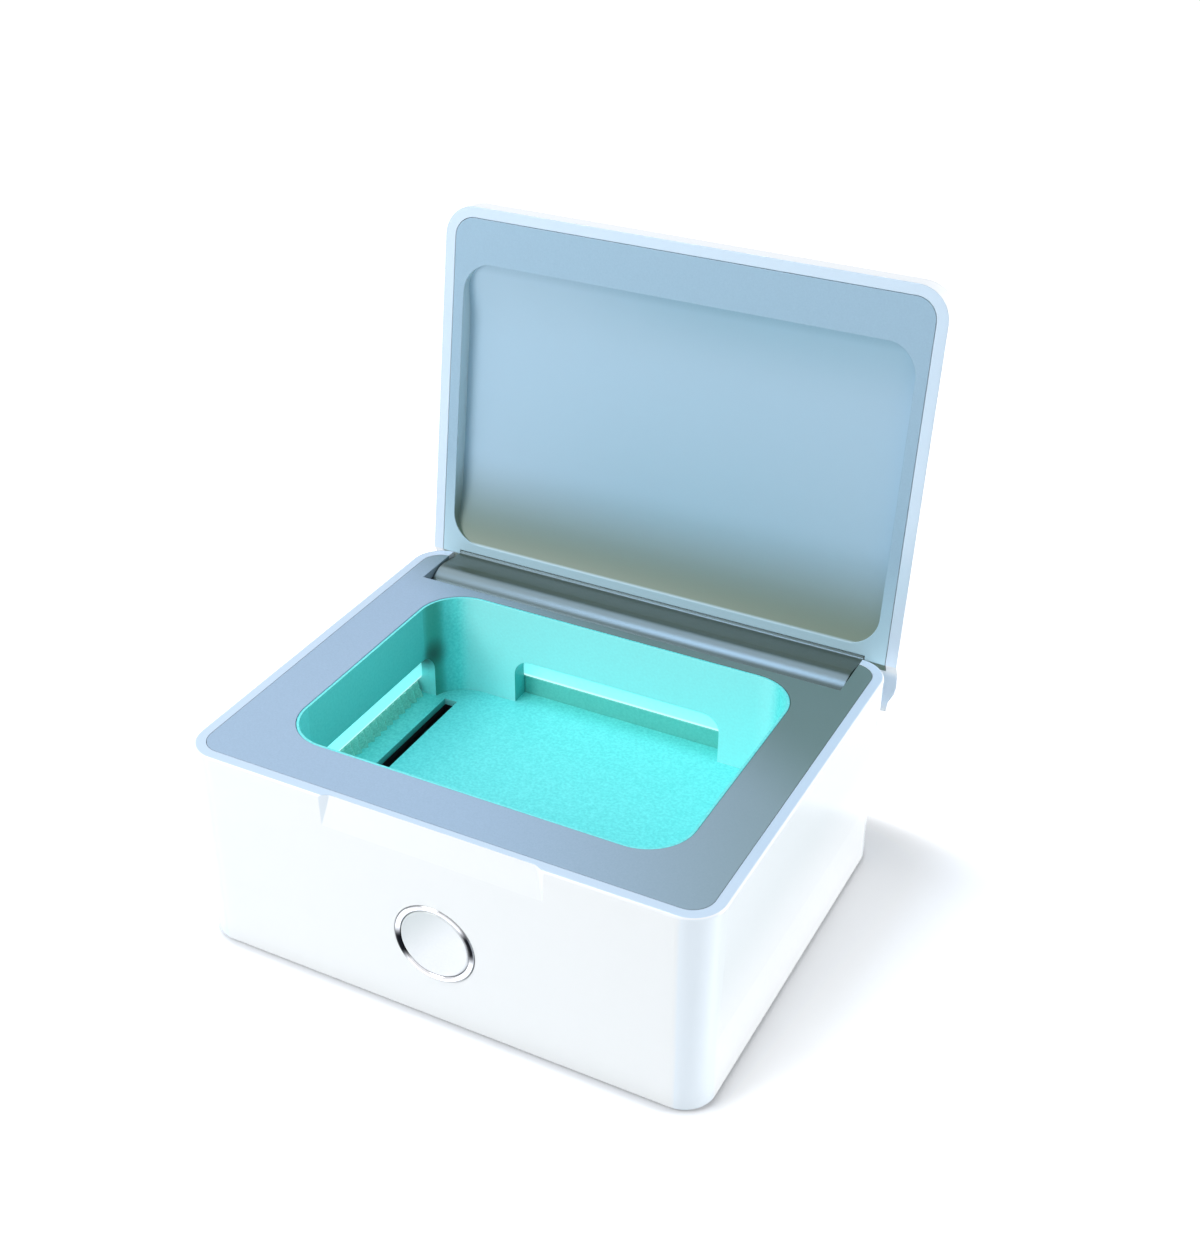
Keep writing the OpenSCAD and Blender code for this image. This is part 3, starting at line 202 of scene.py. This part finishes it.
# Painted shade: darker and more neutral towards the right and in the strip behind the tub.
to_right = mask_along(tree, place.outputs["Object"], deck_right_way, *deck_right_range)
tone = tint(tree, shader, tone, deck_right_painted_shade, to_right)
to_rear = mask_along(tree, place.outputs["Object"], deck_rear_way, *deck_rear_range)
tint(tree, shader, tone, deck_rear_painted_shade, to_rear)
finish_nodes(deck_abs, "deck_plate")

# Chamber tub: satin ABS, coloured cyan as painted light of the ultraviolet strips behind the covers. Its
# grain is coarse enough to sparkle in that light. Painted light makes the rear wall palest, painted shade
# makes the left wall and the corner behind it a darker green, and painted shade darkens the wall round
# the top rear end of the left niche.
left_wall_painted_shade = "#2F9A99"
left_wall_strength = 0.62
left_wall_facing = (0.5, 0.98)
rear_wall_painted_light = "#BCFFFF"
rear_wall_strength = 0.7
rear_wall_facing = (0.8, 0.99)
corner_painted_shade = "#1E7F68"
corner_strength = 0.7
left_corner_way = (0.95, -0.31, 0)
left_corner_facing = (0.93, 1.0)
niche_painted_shade = "#17321F"
niche_shade_reach = 5.5 * mm
niche_shade_core = 1.5 * mm
niche_clearance = Vector((0.5, 0.5, 0)) * mm

tub_abs, tree, shader = start_material("cyan_tub_abs", {"Roughness": 0.42, "IOR": abs_ior})
place, tone = grain(tree, shader, "#8EFFFC", "#50D2D0", width=0.5 * mm, depth=0.03 * mm)
facing = place.outputs["Normal"]
# Painted shade: the left wall, which faces right, is a darker green.
left_wall = mask_along(tree, facing, (1, 0, 0), *left_wall_facing)
tone = tint(tree, shader, tone, left_wall_painted_shade, left_wall, left_wall_strength)
# Painted light: the rear wall is palest.
rear_wall = mask_along(tree, facing, (0, -1, 0), *rear_wall_facing)
tone = tint(tree, shader, tone, rear_wall_painted_light, rear_wall, rear_wall_strength)
# Painted shade: the corner behind the left wall is a darker green.
left_corner = mask_along(tree, facing, left_corner_way, *left_corner_facing)
tone = tint(tree, shader, tone, corner_painted_shade, left_corner, corner_strength)
# Painted shade round the top rear end of the left niche.
niche_end = Vector(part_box("left_light_cover")[1]) + niche_clearance
from_niche = add_node(tree, "ShaderNodeVectorMath", {"operation": "DISTANCE"}, {1: niche_end},
                      {0: place.outputs["Object"]})
niche_shade = add_node(tree, "ShaderNodeMapRange", {"interpolation_type": "SMOOTHSTEP"},
                {"From Min": niche_shade_reach, "From Max": niche_shade_core}, {"Value": from_niche.outputs["Value"]})
tint(tree, shader, tone, niche_painted_shade, niche_shade.outputs["Result"])
finish_nodes(tub_abs, "chamber_tub")

# Carrier of the rear light cover: a narrow plate moulded in ABS like the tub's, a little duller. Its
# greener, darker tone is painted shade under the cover. It stands in the rear niche, and the cover stands
# on it.
carrier_abs, tree, shader = start_material("green_carrier_abs", {"Roughness": 0.45, "IOR": abs_ior})
# Painted shade: greener and darker than the tub.
grain(tree, shader, "#7CD6CC", "#5FBDB3", width=0.45 * mm, depth=0.02 * mm)
finish_nodes(carrier_abs, "rear_light_carrier")

# Light covers: translucent moulded acrylic strips in the two niches, lit from behind by the diodes.
# Most light leaves them at the rounded lower edge, whose nearly white glow is also a painted highlight.
glow_cyan = "#9DF1F4"
glow_white_highlight = "#F2FFFF"
glow_level = 0.62
lower_edge_facing = (0.02, 0.3)

cover_acrylic, tree, shader = start_material(
    "lit_acrylic", {"Roughness": 0.12, "IOR": 1.49, "Emission Strength": glow_level})
place, tone = grain(tree, shader, "#9BF3F3", "#86E8E8", width=0.8 * mm, depth=0.002 * mm)
# Painted highlight: the glow turns nearly white on the rounded lower edge.
lower_edge_highlight = mask_along(tree, place.outputs["Normal"], (0, 0, -1), *lower_edge_facing)
glow_colour = add_node(tree, "ShaderNodeMix", {"data_type": "RGBA"},
                       {"A": linear(glow_cyan), "B": linear(glow_white_highlight)}, {"Factor": lower_edge_highlight})
tree.links.new(glow_colour.outputs["Result"], shader.inputs["Emission Color"])
finish_nodes(cover_acrylic, "rear_light_cover", "left_light_cover")

# Pleated filter: a strip of greenish filter paper, folded and stood on edge, which leans under the left
# light cover. Paper is matt, with fibres that mottle it.
fine_edge = 0.05 * mm

filter_paper, tree, shader = start_material("pleated_paper", {"Roughness": 0.85})
grain(tree, shader, "#9DF0E4", "#5FB5A3", width=0.35 * mm, depth=0.02 * mm, edge=fine_edge)
finish_nodes(filter_paper, "pleated_filter")

# Air duct, blower, switch and sensor: black glass-filled nylon, left as moulded, with a dull grain. The
# blower is screwed to the bottom cover, and the duct leads from it up to the chamber. The switch and
# the sensor sit on the upright board behind the button.
nylon_ior = 1.53
nylon_black = "#1B1D20"
nylon_shade = "#131518"

black_nylon, tree, shader = start_material("black_nylon", {"Roughness": 0.55, "IOR": nylon_ior})
grain(tree, shader, nylon_black, nylon_shade, width=0.3 * mm, depth=0.02 * mm)
finish_nodes(black_nylon, "air_duct", "fan_housing", "fan_cover", "fan_rotor")
finish_nodes(black_nylon, "tact_switch", "switch_plunger", "lid_sensor")

# Heater: aluminium fins between two rails, rolled, brazed together and set across the duct. Rolling
# gives the metal a soft sheen.
fin_aluminium, tree, shader = start_material("rolled_aluminium", {"Roughness": 0.35, "Metallic": 1.0})
grain(tree, shader, "#C9CCCE", "#B4B8BB", width=0.4 * mm, depth=0.01 * mm, edge=fine_edge)
finish_nodes(fin_aluminium, "heater")

# Circuit boards and light strips: glass fibre laminate, printed with a glossy green solder mask. The
# control board is screwed down on posts of the bottom cover, the button's board stands in its guides,
# and the strips sit behind the niches.
solder_mask, tree, shader = start_material("green_solder_mask", {"Roughness": 0.3, "IOR": 1.5})
grain(tree, shader, "#1E6B47", "#175A3B", width=0.5 * mm, depth=0.01 * mm, edge=fine_edge)
finish_nodes(solder_mask, "control_board", "button_board", "rear_light_strip", "left_light_strip")

# Power inlet: a socket of the same nylon, moulded round a plated steel contact pin, for a low voltage
# plug. It stands on the rear end of the control board.
pin_grey = "#C9CCD0"
pin_outside = 0.95 * mm
pin_inside = 0.85 * mm


def across_face(tree, place, name):
    """A point's offset from the axis of a round piece that faces the front or the rear."""
    low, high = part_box(name)
    middle = (Vector(low) + Vector(high)) / 2
    offset = add_node(tree, "ShaderNodeVectorMath", {"operation": "SUBTRACT"}, {1: middle},
                      {0: place.outputs["Object"]})
    flat = add_node(tree, "ShaderNodeVectorMath", {"operation": "MULTIPLY"}, {1: (1, 0, 1)},
                    {0: offset.outputs["Vector"]})
    return flat.outputs["Vector"]


inlet_nylon, tree, shader = start_material("inlet_nylon", {"Roughness": 0.5, "IOR": nylon_ior})
place, tone = grain(tree, shader, nylon_black, nylon_shade, width=0.3 * mm, depth=0.01 * mm)
from_axis = across_face(tree, place, "power_inlet")
distance = add_node(tree, "ShaderNodeVectorMath", {"operation": "LENGTH"}, links={0: from_axis})
on_pin = add_node(tree, "ShaderNodeMapRange", {"interpolation_type": "SMOOTHSTEP"},
                  {"From Min": pin_outside, "From Max": pin_inside}, {"Value": distance.outputs["Value"]})
tint(tree, shader, tone, pin_grey, on_pin.outputs["Result"])
tree.links.new(on_pin.outputs["Result"], shader.inputs["Metallic"])
finish_nodes(inlet_nylon, "power_inlet")

# Screws, hinge pins and lid magnet: the screws are zinc plated, the pins are ground steel and sit in the
# deck's cheeks, and the magnet is nickel plated. All of them have the same soft, cool shine.
turned_edge = 0.1 * mm

plated_steel, tree, shader = start_material("zinc_plated_steel", {"Roughness": 0.32, "Metallic": 1.0})
grain(tree, shader, "#C6C8CA", "#AFB3B6", width=0.2 * mm, depth=0.01 * mm, edge=turned_edge)
finish_nodes(plated_steel, "fan_screws", "board_screws", "tub_screws", "barrel_screws")
finish_nodes(plated_steel, "hinge_pins", "lid_magnet")

# Cover screws: the same steel, cold headed, with a cross recess pressed into each head. They hold the
# bottom cover up against the shell's bosses.
recess_length = 2.2 * mm
recess_width = 0.6 * mm
recess_depth = 0.8 * mm
level_slack = 0.01 * mm

screws = nodes["cover_screws"]
corners = [Vector(vertex.co) for vertex in screws.data.vertices]
head_level = min(corner.z for corner in corners)
on_heads = [corner for corner in corners if corner.z < head_level + level_slack]
cutter_mesh = bmesh.new()

# Two crossed bars, centred on the face of each head, cut its recess.
for side_x in (-1, 1):
    for side_y in (-1, 1):
        head = [corner for corner in on_heads if corner.x * side_x > 0 and corner.y * side_y > 0]
        middle = sum(head, Vector()) / len(head)
        for size_x, size_y in ((recess_length, recess_width), (recess_width, recess_length)):
            size = Matrix.Diagonal((size_x, size_y, 2 * recess_depth, 1))
            bmesh.ops.create_cube(cutter_mesh, size=1, matrix=Matrix.Translation(middle) @ size)
cutter_data = bpy.data.meshes.new("recess_cutter")
cutter_mesh.to_mesh(cutter_data)
cutter_mesh.free()
cutter = bpy.data.objects.new("recess_cutter", cutter_data)
bpy.context.scene.collection.objects.link(cutter)
recessed = bpy.data.objects.new("cross_head_screws", screws.data.copy())
recessed.matrix_world = screws.matrix_world
bpy.context.scene.collection.objects.link(recessed)
cut = recessed.modifiers.new("recess", "BOOLEAN")
cut.object = cutter
cut.solver = "EXACT"
cut.use_self = True
finished = recessed.evaluated_get(bpy.context.evaluated_depsgraph_get())
recessed_mesh = bpy.data.meshes.new_from_object(finished)
recessed.modifiers.clear()
recessed.data = recessed_mesh
recessed_mesh.materials.clear()
recessed_mesh.materials.append(plated_steel)
bpy.data.objects.remove(cutter)
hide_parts("cover_screws")
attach(recessed, "base")

# Hinge bushes: turned brass rings pressed into the barrel's end plates. Turning leaves the brass
# bright, and the pins run in it.
turned_brass, tree, shader = start_material("turned_brass", {"Roughness": 0.3, "Metallic": 1.0})
grain(tree, shader, "#D9B36A", "#C49E55", width=0.2 * mm, depth=0.01 * mm, edge=fine_edge)
finish_nodes(turned_brass, "hinge_bushes")

# Feet: four moulded discs of dark grey rubber, stuck in recesses of the bottom cover. Rubber is matt
# and slightly grained.
foot_rubber, tree, shader = start_material("moulded_rubber", {"Roughness": 0.8})
grain(tree, shader, "#3B4045", "#303438", width=0.3 * mm, depth=0.02 * mm)
finish_nodes(foot_rubber, "rubber_feet")

# Button ring: turned steel with a bright chrome plate, pushed into the front wall. Its face has two
# dark sectors, opposite each other, and a thin greyer outer edge, all painted reflections.
sector_painted_reflection = "#121318"
sector_turn = math.radians(18)
sector_facing = (0.86, 0.985)
ring_edge_painted_reflection = "#94989D"
ring_edge_width = 0.2 * mm

chrome_ring, tree, shader = start_material("bright_chrome", {"Roughness": 0.12, "Metallic": 1.0})
place, tone = grain(tree, shader, "#F1F1F4", "#E2E3E7", width=0.4 * mm, depth=0.001 * mm,
                    edge=turned_edge)
from_axis = across_face(tree, place, "button_ring")
spoke = add_node(tree, "ShaderNodeVectorMath", {"operation": "NORMALIZE"}, links={0: from_axis})
sector_way = Vector((math.cos(sector_turn), 0, math.sin(sector_turn)))
# Painted reflection: two dark sectors opposite each other.
left_sector = mask_along(tree, spoke.outputs["Vector"], -sector_way, *sector_facing)
right_sector = mask_along(tree, spoke.outputs["Vector"], sector_way, *sector_facing)
sectors = add_node(tree, "ShaderNodeMath", {"operation": "ADD"}, links={0: left_sector, 1: right_sector})
tone = tint(tree, shader, tone, sector_painted_reflection, sectors.outputs["Value"])
# Painted reflection: a thin greyer outer edge.
ring_radius = nodes["button_ring"].dimensions.x / 2
distance = add_node(tree, "ShaderNodeVectorMath", {"operation": "LENGTH"}, links={0: from_axis})
ring_edge = add_node(tree, "ShaderNodeMapRange", {"interpolation_type": "SMOOTHSTEP"},
                     {"From Min": ring_radius - ring_edge_width, "From Max": ring_radius},
                     {"Value": distance.outputs["Value"]})
tint(tree, shader, tone, ring_edge_painted_reflection, ring_edge.outputs["Result"])
finish_nodes(chrome_ring, "button_ring")

# Button cap: a slightly dished disc of pearl white ABS, moulded and pushed on the plunger. A painted
# shade makes its pearl a little greyer towards the upper left.
cap_painted_shade = "#CFD6D6"
upper_left = Vector((-0.7, 0, 0.7))
cap_shade_start = -0.3

pearl_abs, tree, shader = start_material(
    "pearl_abs", {"Roughness": 0.2, "IOR": abs_ior, "Coat Weight": 0.4, "Coat Roughness": 0.08})
place, tone = grain(tree, shader, "#F5F7F8", "#EEF1F3", width=0.5 * mm, depth=0.004 * mm)
cap_low, cap_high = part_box("button_cap")
cap_level = upper_left.dot((Vector(cap_low) + Vector(cap_high)) / 2)
cap_radius = nodes["button_cap"].dimensions.x / 2
# Painted shade: greyer towards the upper left.
upper_left_shade = mask_along(tree, place.outputs["Object"], upper_left,
                           cap_level + cap_shade_start * cap_radius, cap_level + cap_radius)
tint(tree, shader, tone, cap_painted_shade, upper_left_shade)
finish_nodes(pearl_abs, "button_cap")

# Lid shell: white ABS, moulded and polished like the base. Its rim faces the front while the lid stands
# open, and a bluish painted shade lies on it.
lid_rim_painted_shade = "#D3E4F3"
hinge = frame["record"]["behaviour"]["joints"][0]
open_angle = math.radians(hinge["range_deg"][1])

# Directions of the open lid: out of its inner face, and from the hinge to its front edge.
lid_out = Vector((0, -math.sin(open_angle), -math.cos(open_angle)))
lid_up = Vector((0, -math.cos(open_angle), math.sin(open_angle)))

lid_abs, tree, shader = start_material("white_abs_lid", gloss_abs)
place, tone = grain(tree, shader, shell_white, shell_shade, shell_mottle, shell_ripple)
# Painted shade: the rim that faces out of the open lid is tinted bluer.
on_rim = mask_along(tree, place.outputs["Normal"], lid_out, *rim_facing)
tint(tree, shader, tone, lid_rim_painted_shade, on_rim)
finish_nodes(lid_abs, "lid_shell")

# Lid's inner panel: bluish grey ABS like the deck, smoother, with a dished middle, bonded to a ledge of
# the lid shell. Painted light makes its face lighter towards the hinge, the dish a little bluer and paler,
# and faces that look right paler still. Painted shade turns the dish greenish grey near the hinge.
hinge_place = Vector(hinge["pos_m"])
panel_behind_hinge = 6.2 * mm
panel_painted_light = "#BCDDE9"
paler_from = 30 * mm
dish_painted_light = "#A8C5D8"
dish_depths = (0.1 * mm, 0.9 * mm)
dish_side_painted_light = "#CADFE8"
dish_side_facing = (0.3, 0.8)
dish_painted_shade = "#677C6C"
dish_shade_from = 28 * mm
dish_shade_full = 8 * mm
dish_shade_depth = 0.25 * mm

panel_abs, tree, shader = start_material("satin_blue_grey_abs", {"Roughness": 0.36, "IOR": abs_ior})
place, tone = grain(tree, shader, "#A1BFD2", "#95B3C7", width=0.3 * mm, depth=0.01 * mm)
spot = place.outputs["Object"]
hinge_height = hinge_place.dot(lid_up)
panel_level = hinge_place.dot(lid_out) - panel_behind_hinge
# Painted light: the face grows lighter towards the hinge.
near_hinge = mask_along(tree, spot, lid_up, hinge_height + paler_from, hinge_height)
tone = tint(tree, shader, tone, panel_painted_light, near_hinge)
# Painted light: the dish is a little bluer and paler.
in_dish = mask_along(tree, spot, lid_out, panel_level - dish_depths[0], panel_level - dish_depths[1])
tone = tint(tree, shader, tone, dish_painted_light, in_dish)
# Painted light: faces that look right are paler.
dish_side = mask_along(tree, place.outputs["Normal"], (1, 0, 0), *dish_side_facing)
tone = tint(tree, shader, tone, dish_side_painted_light, dish_side)
# Painted shade: the dish turns greenish grey near the hinge.
below_face = mask_along(tree, spot, lid_out, panel_level, panel_level - dish_shade_depth)
low = mask_along(tree, spot, lid_up, hinge_height + dish_shade_from, hinge_height + dish_shade_full)
low_dish = add_node(tree, "ShaderNodeMath", {"operation": "MULTIPLY"}, links={0: low, 1: below_face})
tint(tree, shader, tone, dish_painted_shade, low_dish.outputs["Value"])
finish_nodes(panel_abs, "lid_inner_panel")

# Hinge barrel: dark grey ABS, moulded and polished on its round face, and screwed to the lid shell. It
# has a strong bluish shine, and a lighter band along the upper front that is a painted highlight.
barrel_shine = {"Roughness": 0.28, "IOR": abs_ior, "Specular IOR Level": 0.95,
                "Specular Tint": linear("#C4E7FF")}
highlight_grey = "#818F90"
highlight_turn = math.radians(23.5)
highlight_way = (0, -math.sin(highlight_turn), math.cos(highlight_turn))
highlight_facing = (0.95, 0.995)

barrel_abs, tree, shader = start_material("dark_grey_abs", barrel_shine)
place, tone = grain(tree, shader, "#475142", "#3B4334", width=0.3 * mm, depth=0.004 * mm)
# Painted highlight: a lighter band along the upper front.
painted_highlight = mask_along(tree, place.outputs["Normal"], highlight_way, *highlight_facing)
tint(tree, shader, tone, highlight_grey, painted_highlight)
finish_nodes(barrel_abs, "hinge_barrel")

# Floor: a plain white sheet. It shows white to the eye and to reflections, and keeps the shadow that
# lies close round the box. The lamps cast that shadow, but its outline is painted: it is thin at the
# front and wide beside the rear half, where the sheet's glow is taken away.
floor_half = 1.5
floor_glow = 0.6
shade_corner = 8 * mm
shade_least = 3 * mm
shade_front = 1 * mm
shade_rear = 60 * mm
rear_fade_inside = 3 * mm
rear_fade_outside = 12 * mm


def seen_rays(tree):
    """1 for what the camera sees directly, in a reflection or through a clear piece."""
    path = add_node(tree, "ShaderNodeLightPath")
    direct = add_node(tree, "ShaderNodeMath", {"operation": "MAXIMUM"},
                      links={0: path.outputs["Is Camera Ray"], 1: path.outputs["Is Glossy Ray"]})
    seen = add_node(tree, "ShaderNodeMath", {"operation": "MAXIMUM"},
                    links={0: direct.outputs["Value"], 1: path.outputs["Is Transmission Ray"]})
    return seen.outputs["Value"]


floor_mesh = bpy.data.meshes.new("floor")
floor_corners = [(-floor_half, -floor_half, 0), (floor_half, -floor_half, 0),
                 (floor_half, floor_half, 0), (-floor_half, floor_half, 0)]
floor_mesh.from_pydata(floor_corners, [], [(0, 1, 2, 3)])
floor = bpy.data.objects.new("floor", floor_mesh)
bpy.context.scene.collection.objects.link(floor)
floor_paper = bpy.data.materials.new("white_sheet")
floor_paper.use_nodes = True
tree = floor_paper.node_tree
tree.nodes.clear()
spot = add_node(tree, "ShaderNodeTexCoord").outputs["Object"]

# Distance from a rectangle that is smaller than the base by the shade's corner radius all round.
base_reach = nodes["base_shell"].dimensions / 2
straight_reach = base_reach - Vector((shade_corner, shade_corner, 0))
sideways = add_node(tree, "ShaderNodeVectorMath", {"operation": "ABSOLUTE"}, links={0: spot})
beyond = add_node(tree, "ShaderNodeVectorMath", {"operation": "SUBTRACT"}, {1: straight_reach},
                  {0: sideways.outputs["Vector"]})
outside = add_node(tree, "ShaderNodeVectorMath", {"operation": "MAXIMUM"}, {1: (0, 0, 0)},
                   {0: beyond.outputs["Vector"]})
away = add_node(tree, "ShaderNodeVectorMath", {"operation": "LENGTH"}, links={0: outside.outputs["Vector"]})

# The shade's width grows from the front to the rear, and ends behind the box.
split = add_node(tree, "ShaderNodeSeparateXYZ", links={"Vector": spot})
wider = add_node(tree, "ShaderNodeMapRange", values={"From Min": -base_reach.y, "From Max": base_reach.y,
                                                     "To Min": shade_front, "To Max": shade_rear},
                 links={"Value": split.outputs["Y"]})
beside = add_node(tree, "ShaderNodeMapRange", {"interpolation_type": "SMOOTHSTEP"},
                  {"From Min": base_reach.y + rear_fade_outside,
                   "From Max": base_reach.y - rear_fade_inside}, {"Value": split.outputs["Y"]})
shade_width = add_node(tree, "ShaderNodeMath", {"operation": "MULTIPLY"},
                       links={0: wider.outputs["Result"], 1: beside.outputs["Result"]})
shade_end = add_node(tree, "ShaderNodeMath", {"operation": "ADD"}, {1: shade_corner + shade_least},
                     {0: shade_width.outputs["Value"]})
fade = add_node(tree, "ShaderNodeMapRange",
                values={"From Min": shade_corner, "To Min": 0.0, "To Max": floor_glow},
                links={"Value": away.outputs["Value"], "From Max": shade_end.outputs["Value"]})
glow = add_node(tree, "ShaderNodeMath", {"operation": "MULTIPLY"},
                links={0: seen_rays(tree), 1: fade.outputs["Result"]})
sheet = add_node(tree, "ShaderNodeBsdfPrincipled",
                 values={"Base Color": linear("#F2F3F5"), "Roughness": 0.9, "Specular IOR Level": 0.0,
                         "Emission Color": linear("#FFFFFF")},
                 links={"Emission Strength": glow.outputs["Value"]})
add_node(tree, "ShaderNodeOutputMaterial", links={"Surface": sheet.outputs["BSDF"]})
floor_mesh.materials.append(floor_paper)

# World: white behind the object and in its reflections, and a soft, slightly cool light all round it.
soft_level = 0.5
white_level = 1.0

world = bpy.data.worlds.new("studio")
bpy.context.scene.world = world
world.use_nodes = True
tree = world.node_tree
tree.nodes.clear()
soft = add_node(tree, "ShaderNodeBackground", values={"Color": linear("#F6F9FC"), "Strength": soft_level})
white = add_node(tree, "ShaderNodeBackground", values={"Color": linear("#FFFFFF"), "Strength": white_level})
mix = add_node(tree, "ShaderNodeMixShader", links={0: seen_rays(tree), 1: soft.outputs["Background"],
                                                   2: white.outputs["Background"]})
add_node(tree, "ShaderNodeOutputWorld", links={"Surface": mix.outputs["Shader"]})

# Lamps: a soft box at the front left, a smaller one high up on the left that draws the line of light
# along the hinge barrel over the highlight painted there, and a wide low one on the right, a little
# behind. A lamp's turn and lift are in degrees, and its level is how bright it makes a white surface that
# faces it.
lamp_aim = Vector((0, 0, 20)) * mm
lamps = {
    "key": {"turn": -38, "lift": 40, "away_mm": 500, "size_mm": 240, "level": 0.5, "colour": "#FFFFFF"},
    "top": {"turn": -82, "lift": 74, "away_mm": 600, "size_mm": 180, "level": 0.28, "colour": "#D6E8FF"},
    "side": {"turn": 112, "lift": 8, "away_mm": 600, "size_mm": 300, "level": 0.7, "colour": "#FFFFFF"},
}
for name, lamp in lamps.items():
    turn = math.radians(lamp["turn"])
    lift = math.radians(lamp["lift"])
    reach = lamp["away_mm"] * mm
    light = bpy.data.lights.new(name, "AREA")
    light.shape = "SQUARE"
    light.size = lamp["size_mm"] * mm
    light.energy = lamp["level"] * (math.pi * reach) ** 2
    light.color = linear(lamp["colour"])[:3]
    stand = bpy.data.objects.new(name, light)
    towards = Vector((math.sin(turn) * math.cos(lift), -math.cos(turn) * math.cos(lift), math.sin(lift)))
    stand.location = lamp_aim + towards * reach
    stand.rotation_euler = towards.to_track_quat("Z", "Y").to_euler()
    bpy.context.scene.collection.objects.link(stand)
